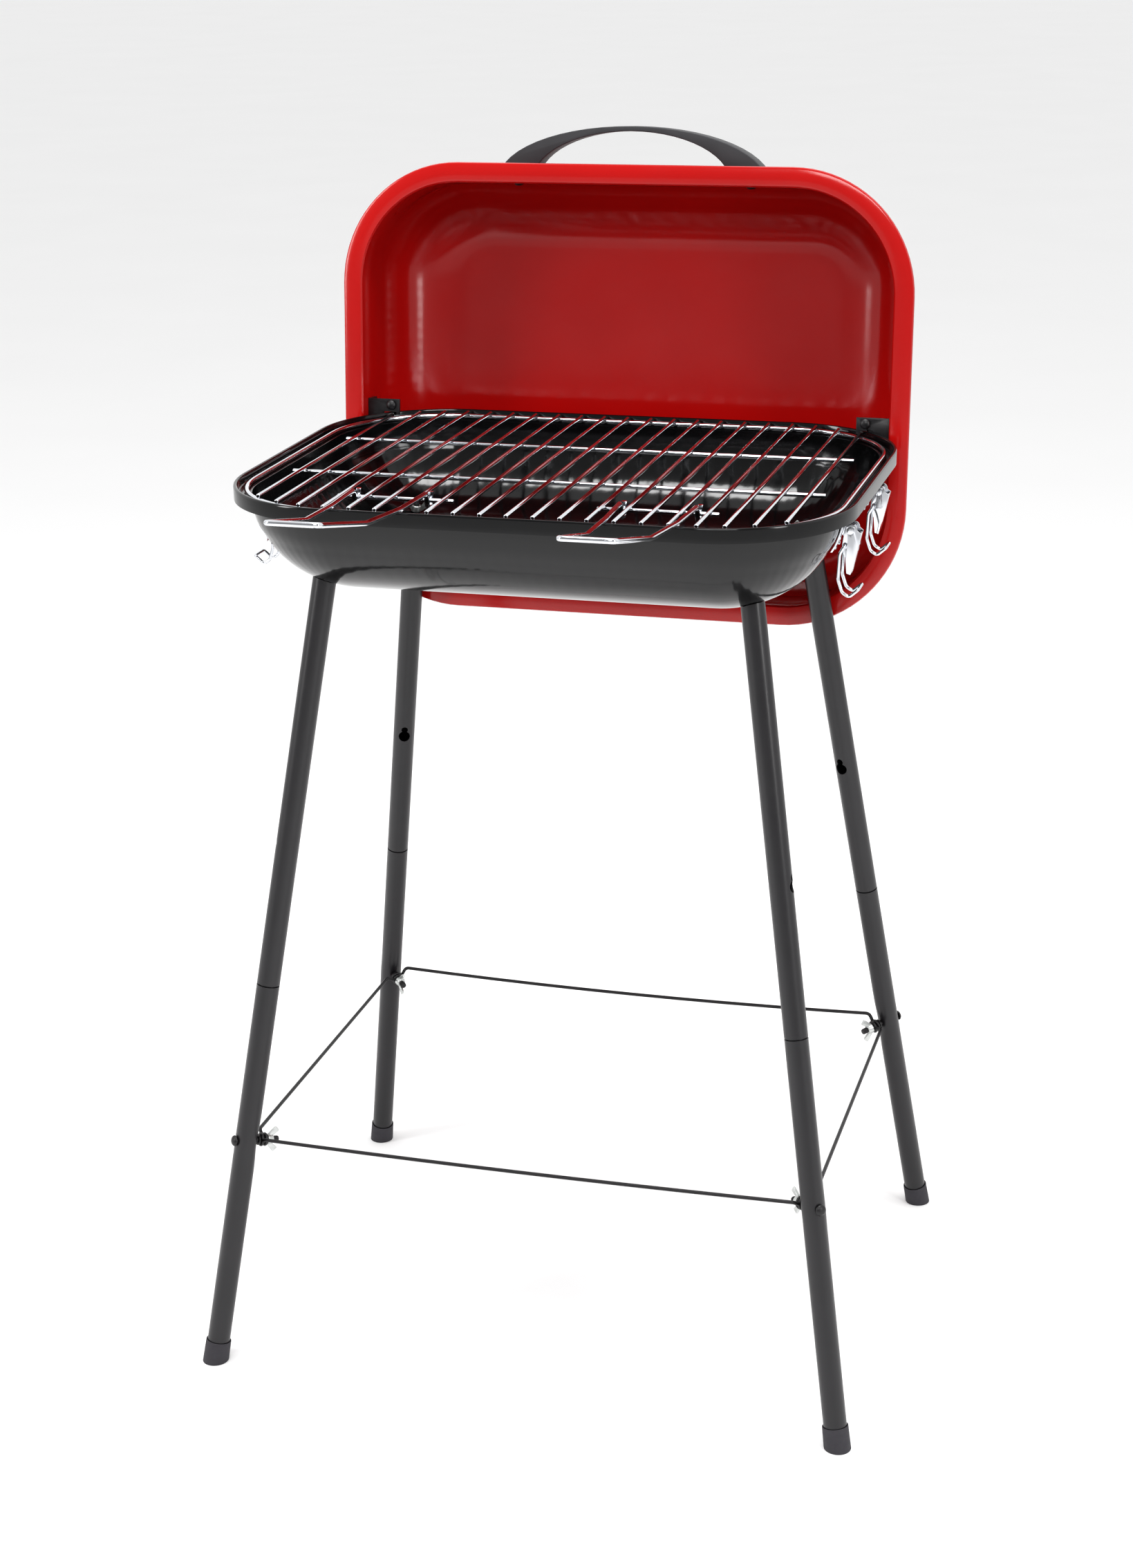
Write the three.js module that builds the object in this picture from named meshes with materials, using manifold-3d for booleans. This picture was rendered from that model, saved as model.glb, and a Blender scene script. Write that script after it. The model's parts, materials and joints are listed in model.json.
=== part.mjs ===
// Portable charcoal grill: a rectangular pressed bowl on four splayed two-piece legs, a wire
// cooking grid with two grips, and a deep lid that hangs on the bowl's rear rim as a wind shield.
// Millimetres, +Z up, +X to the right, +Y to the back. The floor is z = 0.
import * as THREE from "three";
import { mergeVertices } from "three/addons/utils/BufferGeometryUtils.js";
import Module from "manifold-3d";

const wasm = await Module();
wasm.setup();

// ---------- driving dimensions ----------

const GAP = 0.3; // between two pieces that touch
const SHEET = 1.2; // wall of the bowl and the lid

// bowl
const BOWL_LENGTH = 472;
const BOWL_WIDTH = 364;
const CORNER = 99; // corner radius of the rim's outline
const RIM_HEIGHT = 706; // top of the rim above the floor
const BAND_HEIGHT = 11; // turned-down edge of the rim
const RIM_THICK = 3; // folded rim, outside to inside
const LEDGE_DROP = 6.5; // from the rim's top to the ledge that carries the grid
const WALL_INSET = 13; // from the rim's outline to the top of the wall
const BOWL_DEPTH = 81; // rim top to the outside of the bottom

// lid
const LID_OVER = 1.5; // the lid is longer than the bowl, whose rear rim hangs in its mouth
const LID_LENGTH = BOWL_LENGTH + LID_OVER;
const LID_WIDTH = BOWL_WIDTH;
const LID_DEPTH = 100;
const LID_FLANGE = 15; // flat edge round the lid's mouth
const LID_BEND = 57; // radius between the lid's wall and its panel
const LID_LIP = 4; // edge of the flange, turned back
const LID_DROP = 157; // from the rim's top to the lowest edge of the hanging lid
const LID_LOW = RIM_HEIGHT - LID_DROP;
const LID_TILT = THREE.MathUtils.degToRad(5.2); // leans back

// lid handle
const HANDLE_SPAN = 224;
const HANDLE_RISE = 44;
const HANDLE_FOOT = 30;
const HANDLE_WIDE = 20;
const HANDLE_THICK = 4;
const HANDLE_BACK = 38; // from the lid's mouth to the handle's middle

// hooks that carry the lid
const HOOK_SHEET = 2;
const HOOK_BACK = 12; // from the lid's mouth to the hook plate
const HOOK_RISE = 11; // plate above the rim
const HOOK_DROP = 9; // outer leg below the rim's top
const HOOK_GRIP = 2; // inner leg below the rim's top
const HOOK_LEG = 2.8; // width of the inner leg
const HOOK_FLANGE = 16;

// cooking grid
const EDGE_WIRE = 2; // radius of the grid's edge wire
const BAR_WIRE = 1.6;
const CROSS_WIRE = 1.7;
const WELD = 0.4; // depth that welded wires sink into each other
const GRID_INSET = 10; // from the rim's outline to the middle of the edge wire
const BAR_COUNT = 21;
const BAR_PITCH = 19.7;
const CROSS_WIRES = [-53, 65]; // full cross wires, in front of and behind the middle
const SHORT_CROSS = 125; // short cross wires that carry the grips, in front of the middle
const SHORT_HALF = 45;
const GRIP_X = 101; // middle of each grip
const GRIP_WIRE = 2;
const GRIP_ROOT = 28; // half the spread of a grip's wires at their hooked ends
const GRIP_BEND = 22.3; // and where they bend up
const GRIP_END = 19; // and at their outer end
const GRIP_REACH = 61; // bend, in front of the rim
const GRIP_CLIMB = 4.5; // bend, above the level part over the rim
const GRIP_LENGTH = 82; // bend to outer end, level
const GRIP_RISE = 18;
const GRIP_PIN = 5.5; // end of each hook, above the cross wire
const GRIP_TURN = 5; // radius of each hook round the cross wire

// legs
const TUBE = 9; // radius of the leg tube
const TUBE_WALL = 1.2;
const LEAN_X = 0.142; // sideways per unit of height
const LEAN_Y = 0.149;
const LEG_TOP_X = 165.65; // leg axis level with the bowl's bottom
const LEG_TOP_Y = 107.875;
const FOOT_X = LEG_TOP_X + LEAN_X * (RIM_HEIGHT - BOWL_DEPTH); // and at the floor
const FOOT_Y = LEG_TOP_Y + LEAN_Y * (RIM_HEIGHT - BOWL_DEPTH);
const SEAM_HEIGHT = 316; // where the lower tube meets the upper one
const NECK_LENGTH = 45; // reduced end of the lower tube
const KEYHOLE_HEIGHT = 429;
const KEYHOLE = 4.8;
const KEYHOLE_SLOT = 2.7;
const KEYHOLE_RISE = 9;
const CAP_WALL = 1.6;
const CAP_RADIUS = TUBE + CAP_WALL;
const CAP_HEIGHT = 18;
const CAP_FLOOR = 4;

// screws, bolts and nuts
const BOLT = 2.5;
const BOLT_HEAD = 4.4;
const BOLT_TIP = 5; // bolt past its nut
const PLUG_LENGTH = 22;
const WING_NUT = 10; // half the span of a wing nut
const SCREW = 2;
const SCREW_HEAD = 4.1;

// stretchers
const STRETCHER_HEIGHT = 187;
const STRETCHER_TURN = THREE.MathUtils.degToRad(45); // bolt, away from the X axis
const ROD = 1.5;
const EYE = 5.6; // outer radius of a rod's eye
const SPACER = 1.2;

// toggle latches, two on each end wall
const LATCH_Y = 62;
const LATCH_OUT = 8; // lever pin, inside the rim's outline
const LATCH_DOWN = 25; // lever pin, below the rim's top
const PLATE_WIDE = 20;
const PLATE_UP = 9; // wall plate above the lever pin
const PLATE_DOWN = 16; // and below it
const PLATE_THICK = 1.5;
const EAR_OUTER = 4.8; // outer face of each ear from the latch's middle
const EAR_THICK = 1.5;
const LATCH_PIN = 1.6;
const LEVER_SHEET = 1.2;
const BAIL_WIRE = 1.2;
const BAIL_PIVOT = [-3.8, -11]; // from the lever pin, outwards and up

// ---------- shapes ----------

// A closed mesh as a solid, turned to face outwards.
function solid(geometry) {
  const bare = geometry.index ? geometry.toNonIndexed() : geometry.clone();
  bare.deleteAttribute("normal");
  bare.deleteAttribute("uv");
  const merged = mergeVertices(bare, 1e-4);
  const mesh = { numProp: 3, vertProperties: merged.attributes.position.array };
  const triVerts = new Uint32Array(merged.index.array);
  const made = new wasm.Manifold(new wasm.Mesh({ ...mesh, triVerts }));
  if (made.volume() > 0) return made;
  for (let i = 0; i < triVerts.length; i += 3) {
    [triVerts[i + 1], triVerts[i + 2]] = [triVerts[i + 2], triVerts[i + 1]];
  }
  return new wasm.Manifold(new wasm.Mesh({ ...mesh, triVerts }));
}

function surface(made) {
  const { vertProperties, triVerts } = made.getMesh();
  const geometry = new THREE.BufferGeometry();
  geometry.setAttribute("position", new THREE.BufferAttribute(vertProperties, 3));
  geometry.setIndex(new THREE.BufferAttribute(triVerts, 1));
  geometry.computeVertexNormals();
  return geometry;
}

function join(...pieces) {
  return surface(pieces.map(solid).reduce((all, piece) => all.add(piece)));
}

function cut(piece, ...tools) {
  return surface(tools.map(solid).reduce((left, tool) => left.subtract(tool), solid(piece)));
}

// A copy reflected across the plane X = 0.
function mirrored(geometry) {
  return surface(solid(geometry.clone().applyMatrix4(new THREE.Matrix4().makeScale(-1, 1, 1))));
}

// A round post along +Z.
function post(radius, from, to, sides = 12) {
  const geometry = new THREE.CylinderGeometry(radius, radius, to - from, sides);
  return geometry.rotateX(Math.PI / 2).translate(0, 0, (from + to) / 2);
}

// A profile of [radius, height] turned about Z.
function turned(profile, sides = 16) {
  const points = profile.map(([radius, height]) => new THREE.Vector2(radius, height));
  return new THREE.LatheGeometry(points, sides).rotateX(Math.PI / 2);
}

function block(low, high) {
  const size = high.map((value, i) => value - low[i]);
  const middle = high.map((value, i) => (value + low[i]) / 2);
  return new THREE.BoxGeometry(...size).translate(...middle);
}

// A flat outline in X and Z, thickened along Y from one value to another.
function plate(shape, from, to, curveSegments = 6) {
  const geometry = new THREE.ExtrudeGeometry(shape, {
    depth: to - from,
    bevelEnabled: false,
    curveSegments,
  });
  return geometry.rotateX(Math.PI / 2).translate(0, to, 0);
}

function outline(points) {
  return new THREE.Shape(points.map(([x, y]) => new THREE.Vector2(x, y)));
}

// Moves a piece so that its +Z axis points along a direction from a place.
function aimed(geometry, place, direction) {
  const turn = new THREE.Quaternion().setFromUnitVectors(
    new THREE.Vector3(0, 0, 1),
    direction.clone().normalize(),
  );
  const matrix = new THREE.Matrix4().compose(place, turn, new THREE.Vector3(1, 1, 1));
  return geometry.applyMatrix4(matrix);
}

// A polyline that an extrusion follows point by point.
class WireRoute extends THREE.Curve {
  constructor(points) {
    super();
    this.points = points;
  }

  getPoint(t, target = new THREE.Vector3()) {
    const place = t * (this.points.length - 1);
    const start = Math.min(Math.floor(place), this.points.length - 2);
    return target.lerpVectors(this.points[start], this.points[start + 1], place - start);
  }

  getPointAt(u, target) {
    return this.getPoint(u, target);
  }

  getTangentAt(u, target = new THREE.Vector3()) {
    const last = this.points.length - 1;
    const here = Math.round(u * last);
    const before = this.points[Math.max(here - 1, 0)];
    const after = this.points[Math.min(here + 1, last)];
    return target.subVectors(after, before).normalize();
  }
}

// A round wire through corner points, each corner bent to a radius.
function wire(corners, radius, bend = 0, sides = 8, bendSteps = 4) {
  const places = corners.map((corner) => new THREE.Vector3(...corner));
  const points = [places[0]];
  for (let i = 1; i < places.length - 1; i += 1) {
    if (bend === 0) {
      points.push(places[i]);
      continue;
    }
    const back = places[i - 1].clone().sub(places[i]);
    const ahead = places[i + 1].clone().sub(places[i]);
    const reach = Math.min(bend, back.length() * 0.49, ahead.length() * 0.49);
    const start = places[i].clone().addScaledVector(back.normalize(), reach);
    const end = places[i].clone().addScaledVector(ahead.normalize(), reach);
    points.push(...new THREE.QuadraticBezierCurve3(start, places[i], end).getPoints(bendSteps));
  }
  points.push(places.at(-1));
  const section = [];
  for (let i = 0; i < sides; i += 1) {
    const angle = (2 * Math.PI * i) / sides;
    section.push([radius * Math.cos(angle), radius * Math.sin(angle)]);
  }
  const route = new WireRoute(points);
  return new THREE.ExtrudeGeometry(outline(section), { steps: points.length - 1, extrudePath: route });
}

// A turned profile of [inset, height] stretched into a rounded rectangle: the outline has the
// given length and width, and each corner turns about its own centre.
function dish(profile, length, width, steps) {
  const half = Math.PI / (4 * steps);
  const points = profile.map(
    ([inset, height]) => new THREE.Vector2(Math.max(CORNER - inset, 0) / Math.cos(half), height),
  );
  const geometry = new THREE.LatheGeometry(points, 4 * steps, half).rotateX(Math.PI / 2);
  const places = geometry.attributes.position;
  for (let i = 0; i < places.count; i += 1) {
    const x = places.getX(i);
    const y = places.getY(i);
    if (Math.hypot(x, y) < 1e-3) continue;
    places.setX(i, x + Math.sign(x) * (length / 2 - CORNER));
    places.setY(i, y + Math.sign(y) * (width / 2 - CORNER));
  }
  return geometry;
}

// ---------- the grill ----------

const COLOURS = {
  blackEnamel: [0x1b1b1d, 0.25, 0.1],
  redEnamel: [0xa30f0f, 0.2, 0.1],
  chrome: [0xd8dadd, 0.12, 1],
  zinc: [0xc9cac8, 0.35, 1],
  legPaint: [0x2c2b2e, 0.45, 0.3],
  blackSteel: [0x161617, 0.5, 0.4],
  handlePlastic: [0x242426, 0.6, 0],
  footPlastic: [0x37353a, 0.75, 0],
};

const grill = new THREE.Group();

function add(name, finish, geometry, parent = grill) {
  const [color, roughness, metalness] = COLOURS[finish];
  const material = new THREE.MeshStandardMaterial({ color, roughness, metalness });
  const mesh = new THREE.Mesh(geometry, material);
  mesh.name = name;
  parent.add(mesh);
  return mesh;
}

// The bowl's wall is a quarter ellipse from the ledge down to the flat bottom.
const WALL_TOP = RIM_HEIGHT - LEDGE_DROP - SHEET;
const WALL_REACH = CORNER - WALL_INSET;
const WALL_FALL = WALL_TOP - (RIM_HEIGHT - BOWL_DEPTH);

// Points of the wall as [inset, height], moved outwards by a clearance, bottom first.
function wallArc(clearance, steps) {
  const points = [];
  for (let i = 1; i <= steps; i += 1) {
    const angle = (Math.PI / 2) * (1 - i / steps);
    const reach = (WALL_REACH + clearance) * Math.cos(angle);
    const fall = (WALL_FALL + clearance) * Math.sin(angle);
    points.push([CORNER - reach, WALL_TOP - fall]);
  }
  return points;
}

// Height of the wall's outer surface, moved outwards by a clearance, at a distance from a
// corner's centre.
function wallHeight(distance, clearance) {
  const share = Math.min(distance / (WALL_REACH + clearance), 1);
  return WALL_TOP - (WALL_FALL + clearance) * Math.sqrt(1 - share * share);
}

const WALL_STEPS = 9;
const DISH_STEPS = 7;

// The bowl's outer shape, filled, grown by a clearance and open at the top: what cuts the legs.
function bowlCutter(clearance) {
  const bottom = RIM_HEIGHT - BOWL_DEPTH - clearance;
  const profile = [
    [CORNER, bottom],
    [CORNER - 0.5, bottom],
    ...wallArc(clearance, WALL_STEPS),
    [WALL_INSET - clearance, RIM_HEIGHT],
    [CORNER, RIM_HEIGHT],
  ];
  return dish(profile, BOWL_LENGTH, BOWL_WIDTH, DISH_STEPS);
}

// The line of a leg: the point on its axis at a height.
function legPoint(sideX, sideY, height) {
  return new THREE.Vector3(
    sideX * (FOOT_X - LEAN_X * height),
    sideY * (FOOT_Y - LEAN_Y * height),
    height,
  );
}

// Height where the leg's axis meets the bowl's outer surface moved outwards by a clearance.
function axisHeight(clearance) {
  let height = RIM_HEIGHT - BOWL_DEPTH;
  for (let i = 0; i < 40; i += 1) {
    const point = legPoint(1, 1, height);
    const acrossX = Math.max(point.x - (BOWL_LENGTH / 2 - CORNER), 0);
    const acrossY = Math.max(point.y - (BOWL_WIDTH / 2 - CORNER), 0);
    height = wallHeight(Math.hypot(acrossX, acrossY), clearance);
  }
  return height;
}

const AXIS = new THREE.Vector3(LEAN_X, LEAN_Y, 1).length(); // length of axis per unit of height
const LEGS = [
  { name: "front_left", x: -1, y: -1, keyhole: 180 },
  { name: "front_right", x: 1, y: -1, keyhole: 0 },
  { name: "rear_left", x: -1, y: 1, keyhole: -69 },
  { name: "rear_right", x: 1, y: 1, keyhole: -111 },
];

function upwards(leg) {
  return new THREE.Vector3(-leg.x * LEAN_X, -leg.y * LEAN_Y, 1).normalize();
}

// The stretcher bolt's direction, inwards and square to the leg.
function inwards(leg) {
  const turn = STRETCHER_TURN;
  const level = new THREE.Vector3(-leg.x * Math.cos(turn), -leg.y * Math.sin(turn), 0);
  const up = upwards(leg);
  return level.addScaledVector(up, -level.dot(up)).normalize();
}

function buildBowl() {
  const bottom = RIM_HEIGHT - BOWL_DEPTH;
  const profile = [
    [CORNER, bottom],
    [CORNER - 0.5, bottom],
    ...wallArc(0, WALL_STEPS),
    [SHEET, WALL_TOP],
    [SHEET, RIM_HEIGHT - BAND_HEIGHT],
    [0, RIM_HEIGHT - BAND_HEIGHT],
    [0, RIM_HEIGHT - RIM_THICK / 2],
    [RIM_THICK * 0.15, RIM_HEIGHT - RIM_THICK * 0.15],
    [RIM_THICK / 2, RIM_HEIGHT],
    [RIM_THICK * 0.85, RIM_HEIGHT - RIM_THICK * 0.15],
    [RIM_THICK, RIM_HEIGHT - RIM_THICK / 2],
    [RIM_THICK, RIM_HEIGHT - LEDGE_DROP],
    [WALL_INSET + SHEET, RIM_HEIGHT - LEDGE_DROP],
    ...wallArc(-SHEET, WALL_STEPS).reverse(),
    [CORNER - 0.5, bottom + SHEET],
    [CORNER, bottom + SHEET],
  ];
  const shell = dish(profile, BOWL_LENGTH, BOWL_WIDTH, DISH_STEPS);
  const holes = LEGS.map((leg) =>
    aimed(post(BOLT + GAP, -20, 20), legPoint(leg.x, leg.y, axisHeight(0)), upwards(leg)),
  );
  add("bowl", "blackEnamel", cut(shell, ...holes));
}

// ---------- legs ----------

function buildLegs() {
  const under = axisHeight(GAP) * AXIS; // along the axis, to the bowl's underside
  const inside = axisHeight(-SHEET) * AXIS;
  const seam = SEAM_HEIGHT * AXIS;
  const bore = TUBE - TUBE_WALL;
  for (const leg of LEGS) {
    const foot = legPoint(leg.x, leg.y, 0);
    const frame = new THREE.Group();
    frame.position.copy(foot);
    frame.quaternion.setFromUnitVectors(new THREE.Vector3(0, 0, 1), upwards(leg));
    frame.updateMatrixWorld(true);
    grill.add(frame);
    const intoFrame = frame.matrixWorld.clone().invert();

    // upper tube, its top shaped to the bowl and closed by a welded plug with the bolt's hole
    const blank = turned([
      [0, under - PLUG_LENGTH],
      [bore, under - PLUG_LENGTH],
      [bore, seam + GAP],
      [TUBE, seam + GAP],
      [TUBE, under + 20],
      [0, under + 20],
    ]);
    const turn = THREE.MathUtils.degToRad(leg.keyhole);
    const facing = new THREE.Vector3(Math.cos(turn), Math.sin(turn), 0);
    const keyholeAt = new THREE.Vector3(0, 0, KEYHOLE_HEIGHT * AXIS);
    const slotTop = block(
      [-KEYHOLE_SLOT, -KEYHOLE_RISE, TUBE / 2],
      [KEYHOLE_SLOT, 0, TUBE + 3],
    );
    const slotBottom = slotTop.clone().rotateZ(Math.PI);
    const slotUp = aimed(slotTop, keyholeAt, facing);
    const slotDown = aimed(slotBottom, keyholeAt, facing);
    slotUp.computeBoundingBox();
    slotDown.computeBoundingBox();
    const slot = slotUp.boundingBox.max.z > slotDown.boundingBox.max.z ? slotUp : slotDown;
    const upper = cut(
      blank,
      bowlCutter(GAP).applyMatrix4(intoFrame),
      post(BOLT + GAP, under - PLUG_LENGTH - 1, under + 30),
      aimed(post(KEYHOLE, TUBE / 2, TUBE + 3), keyholeAt, facing),
      slot,
    );
    add(`leg_upper_${leg.name}`, "legPaint", upper, frame);

    // lower tube with a reduced neck that goes up inside the upper one
    const neck = bore - GAP;
    const capFloor = CAP_FLOOR - 2;
    const lowerBlank = turned([
      [bore, capFloor + GAP],
      [TUBE, capFloor + GAP],
      [TUBE, seam],
      [neck, seam + GAP],
      [neck, seam + NECK_LENGTH],
      [neck - TUBE_WALL, seam + NECK_LENGTH],
      [neck - TUBE_WALL, seam - 3],
      [bore, seam - 6],
      [bore, capFloor + GAP],
    ]);
    const crossing = legPoint(leg.x, leg.y, STRETCHER_HEIGHT);
    const crossHole = aimed(post(BOLT + GAP, -15, 15), crossing, inwards(leg));
    const lower = cut(lowerBlank, crossHole.applyMatrix4(intoFrame));
    add(`leg_lower_${leg.name}`, "legPaint", lower, frame);

    // foot cap, cut level with the floor
    const capBlank = turned([
      [0, -CAP_FLOOR],
      [CAP_RADIUS - 3, -CAP_FLOOR],
      [CAP_RADIUS - 0.9, -CAP_FLOOR + 1.5],
      [CAP_RADIUS, -CAP_FLOOR + 4],
      [CAP_RADIUS - 0.4, CAP_HEIGHT - 1],
      [CAP_RADIUS - 1, CAP_HEIGHT],
      [TUBE + GAP, CAP_HEIGHT],
      [TUBE + GAP, capFloor],
      [0, capFloor],
    ]);
    const floor = block([-60, -60, -60], [60, 60, 0]).translate(foot.x, foot.y, 0);
    add(`foot_cap_${leg.name}`, "footPlastic", cut(capBlank, floor.applyMatrix4(intoFrame)), frame);

    // bolt with its head under the plug, and the wing nut in the bowl
    const head = post(BOLT_HEAD, under - PLUG_LENGTH - GAP - 4, under - PLUG_LENGTH - GAP);
    const seat = inside + 2;
    const shank = post(BOLT, under - PLUG_LENGTH - GAP - 2, seat + WING_NUT * 0.5 + BOLT_TIP);
    add(`leg_bolt_${leg.name}`, "blackSteel", join(head, shank), frame);
    const nut = add(`leg_wing_nut_${leg.name}`, "zinc", wingNut(), frame);
    nut.position.z = seat;
  }
}

// A wing nut, its base at z = 0.
function wingNut() {
  const span = WING_NUT;
  const boss = turned(
    [
      [0, 0],
      [span * 0.45, 0],
      [span * 0.36, span * 0.5],
      [0, span * 0.5],
    ],
    10,
  );
  const shape = new THREE.Shape();
  shape.moveTo(0, span * 0.1);
  shape.lineTo(span * 0.4, span * 0.1);
  shape.lineTo(span * 0.9, span * 0.38);
  shape.quadraticCurveTo(span * 1.06, span * 0.78, span * 0.86, span * 0.86);
  shape.quadraticCurveTo(span * 0.7, span * 0.9, span * 0.58, span * 0.66);
  shape.lineTo(span * 0.3, span * 0.44);
  shape.lineTo(0, span * 0.44);
  const wing = plate(shape, -span * 0.12, span * 0.12, 3);
  const other = wing.clone().rotateZ(Math.PI);
  return cut(join(boss, wing, other), post(BOLT + GAP, -1, span, 10));
}

// ---------- stretchers ----------

// Each bolt carries the leg, a spacer, two rod eyes and a wing nut, in this order.
const EYE_THICK = 2 * ROD;
const EYE_STARTS = [TUBE + GAP + SPACER + GAP, TUBE + SPACER + 3 * GAP + EYE_THICK];
const NUT_START = EYE_STARTS[1] + EYE_THICK + GAP;

function buildStretchers() {
  for (const leg of LEGS) {
    const crossing = legPoint(leg.x, leg.y, STRETCHER_HEIGHT);
    const inward = inwards(leg);
    const head = turned(
      [
        [0, -TUBE - GAP - 3],
        [BOLT_HEAD * 0.6, -TUBE - GAP - 2.7],
        [BOLT_HEAD, -TUBE - GAP - 1],
        [BOLT_HEAD, -TUBE - GAP],
        [0, -TUBE - GAP],
      ],
      12,
    );
    const tip = NUT_START + WING_NUT * 0.5 + BOLT_TIP;
    const bolt = join(head, post(BOLT, -TUBE - GAP - 1, tip));
    add(`stretcher_bolt_${leg.name}`, "blackSteel", aimed(bolt, crossing, inward));
    const spacer = ring(BOLT_HEAD, TUBE + GAP, TUBE + GAP + SPACER);
    add(`stretcher_spacer_${leg.name}`, "blackSteel", aimed(spacer, crossing, inward));
    const nut = add(`stretcher_wing_nut_${leg.name}`, "zinc", wingNut());
    nut.position.copy(crossing).addScaledVector(inward, NUT_START);
    nut.quaternion.setFromRotationMatrix(boltFrame(leg));
    nut.rotateZ(Math.PI / 2);
  }
  const find = (x, y) => LEGS.find((leg) => leg.x === x && leg.y === y);
  const outer = EYE + 3; // where a rod turns off beside its eye
  const clearOfNut = WING_NUT + 1.5;
  const rods = [
    ["front", find(-1, -1), find(1, -1), { eye: 0, aside: outer, rise: 3, sag: 2 }],
    ["rear", find(-1, 1), find(1, 1), { eye: 0, aside: outer, rise: 8.5, sag: 4 }],
    ["left", find(-1, -1), find(-1, 1), { eye: 1, aside: clearOfNut, rise: 4, sag: 0 }],
    ["right", find(1, -1), find(1, 1), { eye: 1, aside: clearOfNut, rise: 2, sag: 0 }],
  ];
  for (const [name, first, second, bends] of rods) {
    buildRod(`stretcher_${name}`, first, second, bends);
  }
}

// A flat ring about Z that a bolt goes through.
function ring(radius, from, to) {
  const hole = BOLT + GAP;
  const profile = [
    [hole, from],
    [radius, from],
    [radius, to],
    [hole, to],
    [hole, from],
  ];
  return turned(profile, 12);
}

// Axes at a stretcher bolt: X level and square to the bolt, Y up, Z along the bolt.
function boltFrame(leg) {
  const inward = inwards(leg);
  const across = new THREE.Vector3(0, 0, 1).cross(inward).normalize();
  return new THREE.Matrix4().makeBasis(across, inward.clone().cross(across), inward);
}

// A rod between two legs: an eye round each bolt, a step up beside it and a slight sag.
function buildRod(name, first, second, { eye, aside, rise, sag }) {
  const start = EYE_STARTS[eye];
  const halves = [];
  const eyes = [];
  const way = legPoint(second.x, second.y, 0).sub(legPoint(first.x, first.y, 0)).normalize();
  for (const [leg, sign] of [[first, 1], [second, -1]]) {
    const basis = boltFrame(leg).setPosition(legPoint(leg.x, leg.y, STRETCHER_HEIGHT));
    const across = new THREE.Vector3().setFromMatrixColumn(basis, 0);
    const side = Math.sign(across.dot(way)) * sign;
    eyes.push(ring(EYE, start, start + EYE_THICK).applyMatrix4(basis));
    const middle = start + EYE_THICK / 2;
    const steps = [[side * (EYE - ROD), 0, middle], [side * aside, rise, middle]];
    halves.push(steps.map((step) => new THREE.Vector3(...step).applyMatrix4(basis)));
  }
  const [from, to] = [halves[0][1], halves[1][1]];
  const lowest = from.clone().add(to).multiplyScalar(0.5);
  lowest.z -= 2 * sag;
  const curve = new THREE.QuadraticBezierCurve3(from, lowest, to);
  const route = [halves[0][0], ...curve.getPoints(sag ? 6 : 1), halves[1][0]];
  add(name, "blackSteel", join(wire(route.map((point) => point.toArray()), ROD), ...eyes));
}

// ---------- cooking grid ----------

const EDGE_Z = RIM_HEIGHT - LEDGE_DROP + GAP + EDGE_WIRE;
const BAR_Z = EDGE_Z + EDGE_WIRE + BAR_WIRE - WELD;
const CROSS_Z = BAR_Z - BAR_WIRE - CROSS_WIRE + WELD;

function buildGrid() {
  const halfX = BOWL_LENGTH / 2 - GRID_INSET;
  const halfY = BOWL_WIDTH / 2 - GRID_INSET;
  const bend = CORNER - GRID_INSET;
  const middleX = halfX - bend;
  const middleY = halfY - bend;
  const parts = [];

  // edge wire in two halves that meet at the front and the back
  for (const side of [-1, 1]) {
    const route = [[0, -halfY, EDGE_Z]];
    for (const [end, from] of [[-1, -90], [1, 0]]) {
      for (let i = 0; i <= 7; i += 1) {
        const angle = THREE.MathUtils.degToRad(from + (90 * i) / 7);
        const x = side * (middleX + bend * Math.cos(angle));
        route.push([x, end * middleY + bend * Math.sin(angle), EDGE_Z]);
      }
    }
    route.push([0, halfY, EDGE_Z]);
    parts.push(wire(route, EDGE_WIRE));
  }

  // bars from front to back, each long enough to lie on the edge wire
  const lastBar = (BAR_PITCH * (BAR_COUNT - 1)) / 2;
  for (let i = 0; i < BAR_COUNT; i += 1) {
    const x = i * BAR_PITCH - lastBar;
    const past = Math.max(Math.abs(x) - middleX, 0);
    const reach = middleY + Math.sqrt(bend * bend - past * past) + EDGE_WIRE * 0.5;
    parts.push(post(BAR_WIRE, -reach, reach, 6).rotateX(Math.PI / 2).translate(x, 0, BAR_Z));
  }

  // cross wires below the bars
  const crossWire = (middle, half, y) =>
    post(CROSS_WIRE, -half, half, 6).rotateY(Math.PI / 2).translate(middle, y, CROSS_Z);
  for (const y of CROSS_WIRES) parts.push(crossWire(0, lastBar + 10, y));
  for (const side of [-1, 1]) parts.push(crossWire(side * (GRIP_X - 2), SHORT_HALF, -SHORT_CROSS));
  add("cooking_grid", "chrome", join(...parts));
}

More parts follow.
